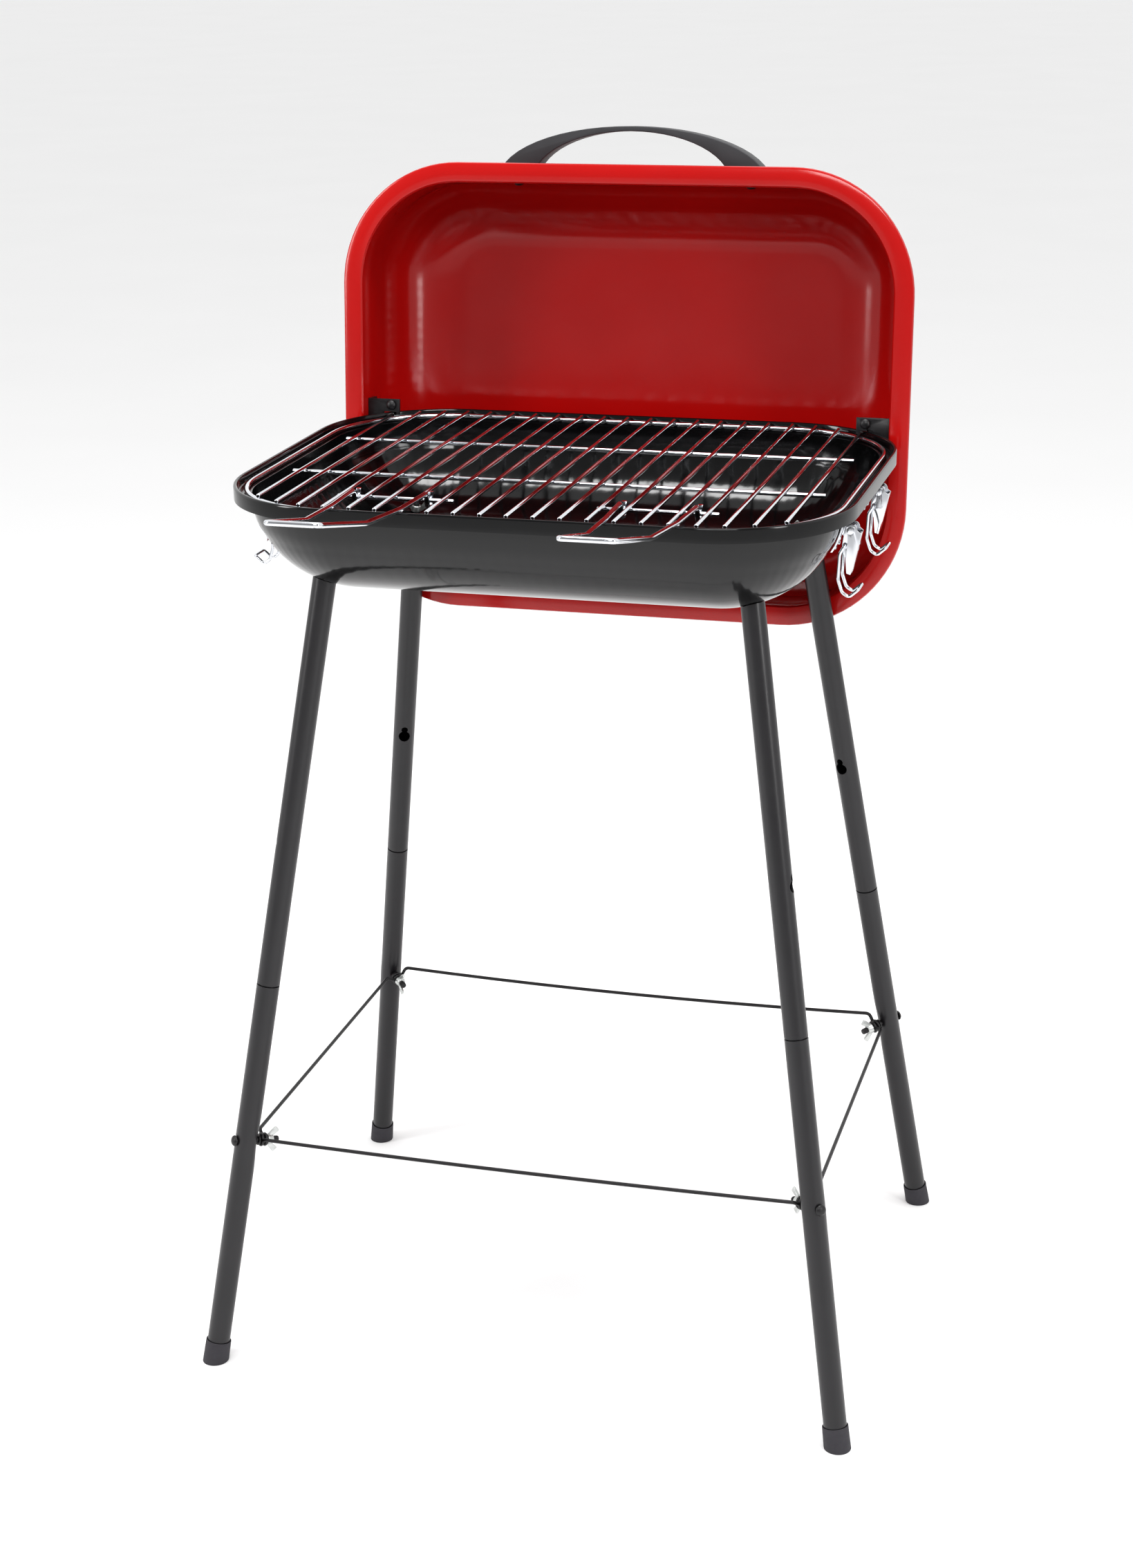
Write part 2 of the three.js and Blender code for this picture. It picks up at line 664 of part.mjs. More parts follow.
// A grip: a wire loop that lies over the rim. Each inner end hooks under the short cross wire and
// turns up behind it, so the grip swings about that wire. A pressed plate closes the outer end.
function buildGrips() {
  const overRim = RIM_HEIGHT + GAP + GRIP_WIRE + 0.3;
  const bendY = -BOWL_WIDTH / 2 - GRIP_REACH;
  const half = (way) => {
    const hook = [];
    const x = way * GRIP_ROOT;
    hook.push([x, -SHORT_CROSS + GRIP_TURN, CROSS_Z + GRIP_PIN]);
    for (const angle of [0, 60, 120, 180]) {
      const turn = THREE.MathUtils.degToRad(angle);
      hook.push([
        x,
        -SHORT_CROSS + GRIP_TURN * Math.cos(turn),
        CROSS_Z - GRIP_TURN * Math.sin(turn),
      ]);
    }
    return [
      ...hook,
      [x, -SHORT_CROSS - GRIP_TURN, overRim - 3],
      [x, -SHORT_CROSS - GRIP_TURN - 3, overRim],
      [way * (GRIP_ROOT - 2), -BOWL_WIDTH / 2, overRim + 0.3],
      [way * GRIP_BEND, bendY, overRim + GRIP_CLIMB],
      [way * GRIP_END, bendY - GRIP_LENGTH, overRim + GRIP_CLIMB + GRIP_RISE],
    ];
  };
  const slope = Math.atan2(GRIP_RISE, GRIP_LENGTH);
  const lens = new THREE.Shape();
  lens.moveTo(-GRIP_END, 0);
  lens.quadraticCurveTo(0, 15, GRIP_END, 0);
  lens.quadraticCurveTo(0, -4, -GRIP_END, 0);
  const pressed = new THREE.ExtrudeGeometry(lens, { depth: 1.4, bevelEnabled: false, curveSegments: 5 });
  pressed.translate(0, 0, -0.7).rotateX(-slope);
  const end = half(1).at(-1);
  pressed.translate(0, end[1] + 1, end[2]);
  const loop = join(wire([...half(-1), ...half(1).reverse()], GRIP_WIRE), pressed);
  for (const [name, side] of [["left", -1], ["right", 1]]) {
    const grip = add(`grid_grip_${name}`, "chrome", loop.clone());
    grip.position.x = side * GRIP_X;
  }
}

// ---------- lid ----------

// The lid's own frame: X along its length, Y from its mouth to its panel, Z up its width.
const LID_INNER = LID_FLANGE + SHEET;
const lidFrame = new THREE.Group();

function buildLid() {
  const rest = LID_LOW + LID_FLANGE;
  const legBack = FOOT_Y - LEAN_Y * LID_LOW + TUBE * Math.hypot(1, LEAN_Y) + GAP;
  const half = LID_WIDTH / 2;
  lidFrame.position.set(0, legBack + Math.sin(LID_TILT) * half, LID_LOW + Math.cos(LID_TILT) * half);
  lidFrame.rotation.x = -LID_TILT;
  grill.add(lidFrame);

  const bendAt = LID_DEPTH - LID_BEND;
  const arc = (radius, depth) => {
    const points = [];
    for (let i = 0; i <= 7; i += 1) {
      const angle = (Math.PI / 2) * (1 - i / 7);
      points.push([LID_FLANGE + LID_BEND - radius * Math.cos(angle), bendAt + radius * Math.sin(angle)]);
    }
    return points.map(([inset, height]) => [inset, Math.min(height, depth)]);
  };
  const profile = [
    [CORNER, LID_DEPTH],
    ...arc(LID_BEND, LID_DEPTH),
    [LID_FLANGE, SHEET + 1.5],
    [LID_FLANGE - 1.5, SHEET],
    [SHEET, SHEET],
    [SHEET, LID_LIP],
    [0, LID_LIP],
    [0, 0.5],
    [0.5, 0],
    [LID_FLANGE - 2, 0],
    [LID_INNER - 0.4, 0.8],
    [LID_INNER, 2.6],
    ...arc(LID_BEND - SHEET, LID_DEPTH - SHEET).reverse(),
    [CORNER, LID_DEPTH - SHEET],
  ];
  // turned about Z with the mouth at height 0, then laid so that depth runs along Y
  const shell = dish(profile, LID_LENGTH, LID_WIDTH, DISH_STEPS).rotateX(-Math.PI / 2);
  const holes = [];
  const top = half - LID_FLANGE;
  const handleX = HANDLE_SPAN / 2 - HANDLE_FOOT / 2;
  for (const side of [-1, 1]) {
    holes.push(post(SCREW + GAP, top - 5, top + 5).translate(side * handleX, HANDLE_BACK, 0));
  }
  const wallX = LID_LENGTH / 2 - LID_FLANGE;
  const rimZ = rimInLid(HOOK_BACK + HOOK_SHEET / 2);
  const rivetY = HOOK_BACK + HOOK_FLANGE * 0.6;
  for (const side of [-1, 1]) {
    const hole = post(SCREW + GAP, -5, 5).rotateY(Math.PI / 2);
    holes.push(hole.translate(side * wallX, rivetY, rimZ));
  }
  add("lid", "redEnamel", cut(shell, ...holes), lidFrame);

  buildLidHandle(top, handleX);
  buildHooks(wallX, rimZ, rivetY);
}

// Height in the lid's frame of the rim's top, at a distance behind the lid's mouth.
function rimInLid(back) {
  const rise = RIM_HEIGHT - lidFrame.position.z + Math.sin(LID_TILT) * back;
  return rise / Math.cos(LID_TILT);
}

// Half the length of the bowl's outline, moved in by an inset, at a place behind its middle.
function rimHalfLength(y, inset) {
  const past = Math.max(Math.abs(y) - (BOWL_WIDTH / 2 - CORNER), 0);
  return BOWL_LENGTH / 2 - CORNER + Math.sqrt((CORNER - inset) ** 2 - past ** 2);
}

function buildLidHandle(top, handleX) {
  const foot = top + GAP;
  const outer = HANDLE_SPAN / 2;
  const inner = outer - HANDLE_FOOT;
  const shape = new THREE.Shape();
  shape.absellipse(0, 0, outer, HANDLE_RISE, 0, Math.PI, false);
  shape.absellipse(0, 0, inner, HANDLE_RISE - HANDLE_THICK, Math.PI, 0, true);
  const from = HANDLE_BACK - HANDLE_WIDE / 2;
  const arch = plate(shape, from, from + HANDLE_WIDE, 14).translate(0, 0, foot);
  const holes = [-1, 1].map((side) =>
    post(SCREW + GAP, foot - 1, foot + 11, 8).translate(side * handleX, HANDLE_BACK, 0),
  );
  add("lid_handle", "handlePlastic", cut(arch, ...holes), lidFrame);
  for (const [name, side] of [["left", -1], ["right", 1]]) {
    const inside = top - SHEET - GAP;
    const head = turned(
      [
        [0, -2.6],
        [SCREW_HEAD * 0.6, -2.4],
        [SCREW_HEAD, -1],
        [SCREW_HEAD, 0],
        [0, 0],
      ],
      12,
    ).translate(0, 0, inside);
    const screw = join(head, post(SCREW, inside - 1, foot + 10, 8));
    add(`lid_handle_screw_${name}`, "blackSteel", screw.translate(side * handleX, HANDLE_BACK, 0), lidFrame);
  }
}

// The hook for the +X side: a sheet that drops over the rim, with a flange riveted to the lid.
function buildHooks(wallX, rimZ, rivetY) {
  const faceY = HOOK_BACK + HOOK_SHEET / 2;
  const worldY = lidFrame.position.y + Math.cos(LID_TILT) * faceY + Math.sin(LID_TILT) * rimZ;
  const rimOuter = rimHalfLength(worldY - HOOK_SHEET, 0) + 0.6;
  const rimInner = rimHalfLength(worldY + HOOK_SHEET, RIM_THICK) - 1.5;
  const wallInside = wallX - SHEET - GAP;
  const roof = rimZ + GAP;
  const foot = rimZ - HOOK_DROP;
  const top = rimZ + HOOK_RISE;
  const sheet = outline([
    [rimInner - HOOK_LEG, rimZ - HOOK_GRIP],
    [rimInner, rimZ - HOOK_GRIP],
    [rimInner, roof],
    [rimOuter, roof],
    [rimOuter, foot],
    [wallInside, foot],
    [wallInside, top],
    [rimInner - HOOK_LEG, top],
  ]);
  const face = plate(sheet, HOOK_BACK, HOOK_BACK + HOOK_SHEET);
  const flange = block(
    [wallInside - HOOK_SHEET, HOOK_BACK, foot],
    [wallInside, HOOK_BACK + HOOK_FLANGE, top],
  );
  const outside = SHEET + 2 * GAP;
  const dome = turned(
    [
      [0, outside],
      [SCREW_HEAD * 0.9, outside],
      [SCREW_HEAD * 0.6, outside + 1.6],
      [0, outside + 2],
    ],
    12,
  );
  const rivet = join(post(SCREW, -HOOK_SHEET / 2, outside + 1, 8), dome).rotateY(Math.PI / 2);
  const screwX = rimInner + 4.5;
  const screwZ = top - SCREW_HEAD - 0.8;
  const hole = post(SCREW + GAP, -HOOK_SHEET, HOOK_SHEET).rotateX(Math.PI / 2);
  const hook = cut(
    join(face, flange, rivet.translate(wallInside, rivetY, rimZ)),
    hole.translate(screwX, faceY, screwZ),
  );
  const head = turned(
    [
      [0, GAP],
      [SCREW_HEAD, GAP],
      [SCREW_HEAD, GAP + 1],
      [SCREW_HEAD * 0.6, GAP + 2.2],
      [0, GAP + 2.5],
    ],
    12,
  );
  const nut = post(SCREW_HEAD * 0.95, -HOOK_SHEET - GAP - 3, -HOOK_SHEET - GAP, 6);
  const stem = post(SCREW, -HOOK_SHEET - 4, GAP + 1, 8);
  const screw = join(head, nut, stem).rotateX(Math.PI / 2).translate(screwX, HOOK_BACK, screwZ);
  for (const [name, facing] of [["left", mirrored], ["right", (shape) => shape]]) {
    add(`lid_hook_${name}`, "blackSteel", facing(hook), lidFrame);
    add(`lid_hook_screw_${name}`, "blackSteel", facing(screw), lidFrame);
  }
}

// ---------- latches ----------

const PIN_X = BOWL_LENGTH / 2 - LATCH_OUT;
const PIN_Z = RIM_HEIGHT - LATCH_DOWN;

// Distance of the bowl's end wall from the middle, at a height and with a clearance.
function wallAtEnd(height, clearance) {
  const share = Math.min((WALL_TOP - height) / (WALL_FALL + clearance), 1);
  const reach = (WALL_REACH + clearance) * Math.sqrt(1 - share * share);
  return BOWL_LENGTH / 2 - CORNER + reach;
}

// All latch shapes are drawn for the +X end, from the lever pin: [outwards, up].
function latchPlate() {
  const rows = 5;
  const heights = [];
  for (let i = 0; i <= rows; i += 1) heights.push(PLATE_UP - ((PLATE_UP + PLATE_DOWN) * i) / rows);
  const near = heights.map((z) => [wallAtEnd(PIN_Z + z, GAP) + 0.15 - PIN_X, z]);
  const far = heights.map((z) => [wallAtEnd(PIN_Z + z, GAP) + 0.15 + PLATE_THICK - PIN_X, z]);
  const base = plate(outline([...near, ...far.reverse()]), -PLATE_WIDE / 2, PLATE_WIDE / 2);
  const ear = new THREE.Shape();
  const wall = wallAtEnd(PIN_Z, GAP) + 0.6 - PIN_X;
  ear.moveTo(wall, 3.2);
  ear.lineTo(0, 3.2);
  ear.absarc(0, 0, 3.2, Math.PI / 2, -Math.PI / 2, true);
  ear.lineTo(wall - 1, -3.2);
  const ears = [-EAR_OUTER, EAR_OUTER - EAR_THICK].map((y) => plate(ear, y, y + EAR_THICK, 6));
  const cheek = EAR_OUTER + GAP + LEVER_SHEET + GAP;
  const pin = post(LATCH_PIN, -cheek - 0.6, cheek + 0.6, 10).rotateX(Math.PI / 2);
  const heads = [-cheek - 1.2, cheek].map((y) =>
    post(LATCH_PIN + 1.1, y, y + 1.2, 10).rotateX(Math.PI / 2),
  );
  return join(base, ...ears, pin, ...heads);
}

const CHEEK_IN = EAR_OUTER + GAP;
const CHEEK_OUT = CHEEK_IN + LEVER_SHEET;

function latchLever() {
  const side = new THREE.Shape();
  side.moveTo(7.6, -2);
  side.lineTo(5.5, -12);
  side.lineTo(3, -22);
  side.lineTo(0.4, -33);
  side.lineTo(-2.4, -32);
  side.lineTo(-3.4, -20);
  side.quadraticCurveTo(-7, -14, -5.6, -8);
  side.lineTo(-4.6, -2);
  side.absarc(0, 0, 5, Math.PI * 1.13, 0, true);
  const web = outline([
    [7.6, -2],
    [5.5, -12],
    [3, -22],
    [0.4, -33],
    [-0.7, -32.8],
    [1.8, -22],
    [4.3, -12],
    [6.3, -2],
  ]);
  const cheeks = [-CHEEK_OUT, CHEEK_IN].map((y) => plate(side, y, y + LEVER_SHEET, 5));
  const back = plate(web, -CHEEK_IN - 0.5, CHEEK_IN + 0.5);
  const hinge = post(LATCH_PIN + GAP, -10, 10, 10).rotateX(Math.PI / 2);
  const bailHole = post(BAIL_WIRE + GAP, -10, 10, 10).rotateX(Math.PI / 2);
  bailHole.translate(BAIL_PIVOT[0], 0, BAIL_PIVOT[1]);
  return cut(join(...cheeks, back), hinge, bailHole);
}

// The bail, from its own pivot: a bent wire whose ends go into the lever's cheeks.
function latchBail() {
  const bend = 1.5;
  const y = CHEEK_OUT + GAP + bend + BAIL_WIRE / 2;
  const side = (way) => [
    [0, way * (CHEEK_IN - 1.2), 0],
    [0, way * y, 0],
    [-3.4, way * y, -6],
    [-4.3, way * y, -25],
    [-1, way * y, -35],
    [4, way * y, -38],
    [10.8, way * y, -32],
  ];
  return wire([...side(-1), ...side(1).reverse()], BAIL_WIRE, bend, 6, 1);
}

function buildLatches() {
  for (const [end, x] of [["left", -1], ["right", 1]]) {
    for (const [place, y] of [["front", -1], ["rear", 1]]) {
      const face = x > 0 ? (shape) => shape : mirrored;
      const name = `${place}_${end}`;
      const at = new THREE.Vector3(x * PIN_X, y * LATCH_Y, PIN_Z);
      add(`latch_plate_${name}`, "chrome", face(latchPlate())).position.copy(at);
      add(`latch_lever_${name}`, "chrome", face(latchLever())).position.copy(at);
      const bail = add(`latch_bail_${name}`, "chrome", face(latchBail()));
      bail.position.copy(at).add(new THREE.Vector3(x * BAIL_PIVOT[0], 0, BAIL_PIVOT[1]));
    }
  }
}

buildBowl();
buildLegs();
buildStretchers();
buildGrid();
buildGrips();
buildLid();
buildLatches();

// The origin is the middle of the footprint of the whole grill, on the floor.
grill.updateMatrixWorld(true);
const whole = new THREE.Box3().setFromObject(grill, true);
grill.position.set(-(whole.min.x + whole.max.x) / 2, -(whole.min.y + whole.max.y) / 2, -whole.min.z);

export default grill;
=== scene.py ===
import json
import math

import bpy
from mathutils import Matrix, Vector


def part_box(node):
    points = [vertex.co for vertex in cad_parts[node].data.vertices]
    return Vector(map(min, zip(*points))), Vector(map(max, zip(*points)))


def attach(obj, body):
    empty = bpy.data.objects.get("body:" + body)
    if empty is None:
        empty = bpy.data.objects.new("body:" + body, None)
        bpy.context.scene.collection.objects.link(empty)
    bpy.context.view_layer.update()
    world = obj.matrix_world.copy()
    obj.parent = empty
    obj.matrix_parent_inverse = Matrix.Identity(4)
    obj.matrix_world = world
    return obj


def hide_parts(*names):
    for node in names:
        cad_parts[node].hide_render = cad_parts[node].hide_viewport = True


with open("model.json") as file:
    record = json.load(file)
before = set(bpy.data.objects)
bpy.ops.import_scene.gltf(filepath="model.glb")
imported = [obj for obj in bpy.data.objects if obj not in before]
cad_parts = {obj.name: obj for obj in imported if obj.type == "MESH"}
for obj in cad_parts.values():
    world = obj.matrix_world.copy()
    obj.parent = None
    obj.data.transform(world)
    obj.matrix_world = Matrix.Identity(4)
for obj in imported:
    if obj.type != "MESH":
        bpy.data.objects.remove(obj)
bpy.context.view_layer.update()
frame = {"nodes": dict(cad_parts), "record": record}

# A portable charcoal grill: pressed bowl and lid, wire cooking grid, tube legs, rods and latches.
# Lengths are in metres; the sizes below are written in millimetres and scaled once.

MM = 0.001
TINY = 1e-6  # two places closer than this are the same
JOINTS = {joint["name"]: joint for joint in frame["record"]["behaviour"]["joints"]}
CORNERS = {"front_left": (-1, -1), "front_right": (1, -1), "rear_left": (-1, 1), "rear_right": (1, 1)}

bowl_low, bowl_high = (Vector(corner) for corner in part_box("bowl"))
BOWL_MIDDLE = (bowl_low.y + bowl_high.y) / 2
RIM = bowl_high.z
BOWL_LENGTH = bowl_high.x - bowl_low.x
BOWL_WIDTH = bowl_high.y - bowl_low.y
CORNER = 99 * MM
SHEET = 1.2 * MM
CORNER_STEPS = 20

# ---------- materials ----------


def linear(code):
    """A colour given as sRGB hex, as the linear values that a shader takes."""
    values = [int(code[i : i + 2], 16) / 255 for i in (1, 3, 5)]
    return [v / 12.92 if v <= 0.04045 else ((v + 0.055) / 1.055) ** 2.4 for v in values] + [1]


def node(tree, kind, links=None, **settings):
    """Adds a node: settings are its own values, links go to its inputs by name or number."""
    made = tree.nodes.new(kind)
    for name, value in settings.items():
        setattr(made, name, value)
    for name, value in (links or {}).items():
        socket = made.inputs[name]
        if isinstance(value, bpy.types.NodeSocket):
            tree.links.new(value, socket)
        else:
            socket.default_value = value
    return made


def finish(name, colour, metallic=0.0, roughness=0.4, ior=1.5, coat=0.0, coat_roughness=0.05):
    """A new material with a Principled shader, and its tree, shader and Object coordinates."""
    material = bpy.data.materials.new(name)
    material.use_nodes = True
    tree = material.node_tree
    shader = tree.nodes["Principled BSDF"]
    shader.inputs["Base Color"].default_value = linear(colour)
    shader.inputs["Metallic"].default_value = metallic
    shader.inputs["Roughness"].default_value = roughness
    if metallic < 1:
        shader.inputs["IOR"].default_value = ior
    shader.inputs["Coat Weight"].default_value = coat
    shader.inputs["Coat Roughness"].default_value = coat_roughness
    place = node(tree, "ShaderNodeTexCoord")
    return material, tree, shader, place.outputs["Object"]


def noise(tree, place, size_mm, detail=2.0, roughness=0.5):
    """Noise whose lumps are about the given size across."""
    settings = {"Vector": place, "Scale": 1000 / size_mm, "Detail": detail, "Roughness": roughness}
    return node(tree, "ShaderNodeTexNoise", settings).outputs["Fac"]


def between(tree, value, low, high):
    """A value of 0 to 1 spread from low to high."""
    links = {"Value": value, "To Min": low, "To Max": high}
    return node(tree, "ShaderNodeMapRange", links).outputs["Result"]


def blend(tree, factor, first, second):
    """A colour between two others."""
    mix = node(tree, "ShaderNodeMix", data_type="RGBA")
    tree.links.new(factor, mix.inputs["Factor"])
    mix.inputs["A"].default_value = linear(first)
    mix.inputs["B"].default_value = linear(second)
    return mix.outputs["Result"]


def relief(tree, shader, heights):
    """Bumps, each a height from 0 to 1 and its depth in millimetres, one after another."""
    normal = None
    for height, depth in heights:
        bump = node(tree, "ShaderNodeBump", {"Height": height, "Distance": depth * MM})
        if normal is not None:
            tree.links.new(normal, bump.inputs["Normal"])
        normal = bump.outputs["Normal"]
    tree.links.new(normal, shader.inputs["Normal"])


def draw_marks(tree, low, high, pitch_mm):
    """Soft ripples that deep pressing leaves across the bend, between two heights of the sheet."""
    split = node(tree, "ShaderNodeSeparateXYZ")
    tree.links.new(node(tree, "ShaderNodeUVMap", uv_map="pressing").outputs["UV"], split.inputs[0])
    turns = {0: split.outputs["X"], 1: 2 * math.pi / pitch_mm}
    along = node(tree, "ShaderNodeMath", turns, operation="MULTIPLY")
    wave = node(tree, "ShaderNodeMath", {0: along.outputs[0]}, operation="SINE")
    middle = (low + high) / 2
    rising = {"Value": split.outputs["Y"], "From Min": low, "From Max": middle}
    falling = {"Value": split.outputs["Y"], "From Min": middle, "From Max": high}
    falling |= {"To Min": 1.0, "To Max": 0.0}
    up = node(tree, "ShaderNodeMapRange", rising, interpolation_type="SMOOTHSTEP").outputs["Result"]
    down = node(tree, "ShaderNodeMapRange", falling, interpolation_type="SMOOTHSTEP").outputs["Result"]
    mask = node(tree, "ShaderNodeMath", {0: up, 1: down}, operation="MULTIPLY")
    ripples = {0: wave.outputs[0], 1: mask.outputs[0]}
    return node(tree, "ShaderNodeMath", ripples, operation="MULTIPLY").outputs[0]


# Red vitreous enamel fired on pressed steel: deep even colour, glassy, with a slow orange peel.
red_enamel, tree, shader, place = finish("gloss_red_enamel", "#a8110f", roughness=0.15)
tint = blend(tree, noise(tree, place, 120), "#b01210", "#9c0d0c")
tree.links.new(tint, shader.inputs["Base Color"])
tree.links.new(between(tree, noise(tree, place, 30, 3), 0.1, 0.2), shader.inputs["Roughness"])
orange_peel, waves = noise(tree, place, 9), noise(tree, place, 60, 1)
relief(tree, shader, [(orange_peel, 0.03), (waves, 0.25), (draw_marks(tree, 38, 96, 9.0), 0.03)])

# Black vitreous enamel on pressed steel: near black, glassy, slightly wavy.
black_enamel, tree, shader, place = finish("gloss_black_enamel", "#111112", roughness=0.2)
tint = blend(tree, noise(tree, place, 90), "#09090a", "#0e0e0f")
tree.links.new(tint, shader.inputs["Base Color"])
tree.links.new(between(tree, noise(tree, place, 25, 3), 0.07, 0.15), shader.inputs["Roughness"])
orange_peel, waves = noise(tree, place, 8), noise(tree, place, 55, 1)
relief(tree, shader, [(orange_peel, 0.03), (waves, 0.20), (draw_marks(tree, 10, 74, 11.0), 0.03)])

# Chrome plate on drawn steel wire: mirror bright, with faint lengthwise unevenness.
chrome, tree, shader, place = finish("bright_chrome_plate", "#dcdee2", metallic=1.0, roughness=0.08)
tree.links.new(between(tree, noise(tree, place, 6, 3), 0.05, 0.14), shader.inputs["Roughness"])
tree.links.new(blend(tree, noise(tree, place, 14), "#e2e4e8", "#cfd1d6"), shader.inputs["Base Color"])
relief(tree, shader, [(noise(tree, place, 3), 0.01)])

# Bright zinc plate on cast wing nuts: pale, satin and slightly mottled.
zinc, tree, shader, place = finish("zinc_plated_casting", "#c9cbc9", metallic=1.0, roughness=0.34)
tree.links.new(between(tree, noise(tree, place, 1.5, 4), 0.26, 0.46), shader.inputs["Roughness"])
tree.links.new(blend(tree, noise(tree, place, 3), "#d6d8d6", "#b4b6b5"), shader.inputs["Base Color"])
relief(tree, shader, [(noise(tree, place, 0.9, 3), 0.05)])

# Powder coat on steel tube: near black and semi-gloss, with fine orange peel.
sheen = {"roughness": 0.36, "coat": 0.15, "coat_roughness": 0.2}
tube_coat, tree, shader, place = finish("semi_gloss_powder_coat", "#1d1c1e", **sheen)
tree.links.new(blend(tree, noise(tree, place, 40, 3), "#19181a", "#222023"), shader.inputs["Base Color"])
tree.links.new(between(tree, noise(tree, place, 12, 3), 0.3, 0.44), shader.inputs["Roughness"])
relief(tree, shader, [(noise(tree, place, 1.6, 2), 0.03), (noise(tree, place, 10), 0.05)])

# Thin black coating on rods, bolts and brackets: darker and a little rougher than the tubes.
rod_coat, tree, shader, place = finish("black_coated_steel", "#141315", roughness=0.4)
tree.links.new(blend(tree, noise(tree, place, 8, 3), "#121113", "#1d1b1d"), shader.inputs["Base Color"])
tree.links.new(between(tree, noise(tree, place, 4, 3), 0.3, 0.5), shader.inputs["Roughness"])
relief(tree, shader, [(noise(tree, place, 1.2, 2), 0.03)])

# Moulded phenolic handle: dull dark grey with a fine moulding grain.
handle_plastic, tree, shader, place = finish("moulded_phenolic", "#2b2b2d", roughness=0.55)
tree.links.new(blend(tree, noise(tree, place, 20, 3), "#29292b", "#323235"), shader.inputs["Base Color"])
tree.links.new(between(tree, noise(tree, place, 5, 3), 0.46, 0.62), shader.inputs["Roughness"])
relief(tree, shader, [(noise(tree, place, 0.8, 2), 0.03)])

# Moulded soft plastic foot caps: matt charcoal grey.
foot_plastic, tree, shader, place = finish("moulded_foot_plastic", "#343237", roughness=0.7)
tree.links.new(blend(tree, noise(tree, place, 10, 3), "#302e33", "#3a383d"), shader.inputs["Base Color"])
tree.links.new(between(tree, noise(tree, place, 3, 3), 0.6, 0.8), shader.inputs["Roughness"])
relief(tree, shader, [(noise(tree, place, 0.9, 2), 0.04)])

# the finish that each of the record's material slots gets
FINISHES = {
    "lid_enamel": red_enamel,
    "bowl_enamel": black_enamel,
    "chrome": chrome,
    "zinc": zinc,
    "leg_paint": tube_coat,
    "black_steel": rod_coat,
    "handle_plastic": handle_plastic,
    "foot_plastic": foot_plastic,
}

# ---------- modelling helpers ----------


def deselect():
    if bpy.context.object and bpy.context.object.mode != "OBJECT":
        bpy.ops.object.mode_set(mode="OBJECT")
    bpy.ops.object.select_all(action="DESELECT")


def choose(*pieces):
    deselect()
    for piece in pieces:
        piece.select_set(True)
    bpy.context.view_layer.objects.active = pieces[0]


def edit(piece, mode="FACE"):
    """Edit mode with everything selected."""
    choose(piece)
    bpy.ops.object.mode_set(mode="EDIT")
    bpy.ops.mesh.select_mode(type=mode)
    bpy.ops.mesh.select_all(action="SELECT")


def pick(piece, mode, test):
    """Edit mode with only the points, or only the faces, that pass a test selected."""
    choose(piece)
    for point in piece.data.vertices:
        point.select = mode == "VERT" and test(point)
    for line in piece.data.edges:
        line.select = False
    for face in piece.data.polygons:
        face.select = mode == "FACE" and test(face)
    bpy.ops.object.mode_set(mode="EDIT")
    bpy.ops.mesh.select_mode(type=mode)

def done():
    bpy.ops.object.mode_set(mode="OBJECT")


def modify(piece, kind, **settings):
    """Adds a modifier and applies it."""
    choose(piece)
    modifier = piece.modifiers.new(kind.lower(), kind)
    for name, value in settings.items():
        setattr(modifier, name, value)
    bpy.ops.object.modifier_apply(modifier=modifier.name)

def ease(piece, width, segments, degrees):
    """Rounds off the edges that are sharper than an angle."""
    limit = {"limit_method": "ANGLE", "angle_limit": math.radians(degrees)}
    modify(piece, "BEVEL", width=width, segments=segments, **limit)


def put(piece, matrix):
    """Moves a piece from the origin to its place, and leaves its object unturned at the origin."""
    choose(piece)
    piece.matrix_world = matrix @ piece.matrix_world
    bpy.ops.object.transform_apply(location=True, rotation=True, scale=True)
    return piece


def towards(at, direction, level=None):
    """Axes at a place: Z along a direction, X level unless another one is given."""
    z = Vector(direction).normalized()
    x = Vector(level) if level else Vector((0, 0, 1)).cross(z)
    if x.length < 1e-6:
        x = Vector((1, 0, 0))
    x = (x - z * x.dot(z)).normalized()
    turn = Matrix((x, z.cross(x), z)).transposed().to_4x4()
    return Matrix.Translation(at) @ turn


def duplicate(piece):
    other = piece.copy()
    other.data = piece.data.copy()
    bpy.context.collection.objects.link(other)
    return other


def merge(pieces):
    """Several pieces as one object."""
    choose(*pieces)
    bpy.ops.object.join()
    return bpy.context.object


def smooth(piece, degrees=35):
    choose(piece)
    bpy.ops.object.shade_smooth_by_angle(angle=math.radians(degrees))


def ready(piece, name, slot_name, body, *stands_for, degrees=35):
    """Names a finished piece, gives it its finish and ties it to its body."""
    piece.name = name
    piece.data.name = name
    piece.data.materials.clear()
    piece.data.materials.append(FINISHES[slot_name])
    smooth(piece, degrees)
    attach(piece, body)
    if stands_for:
        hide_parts(*stands_for)
    return piece


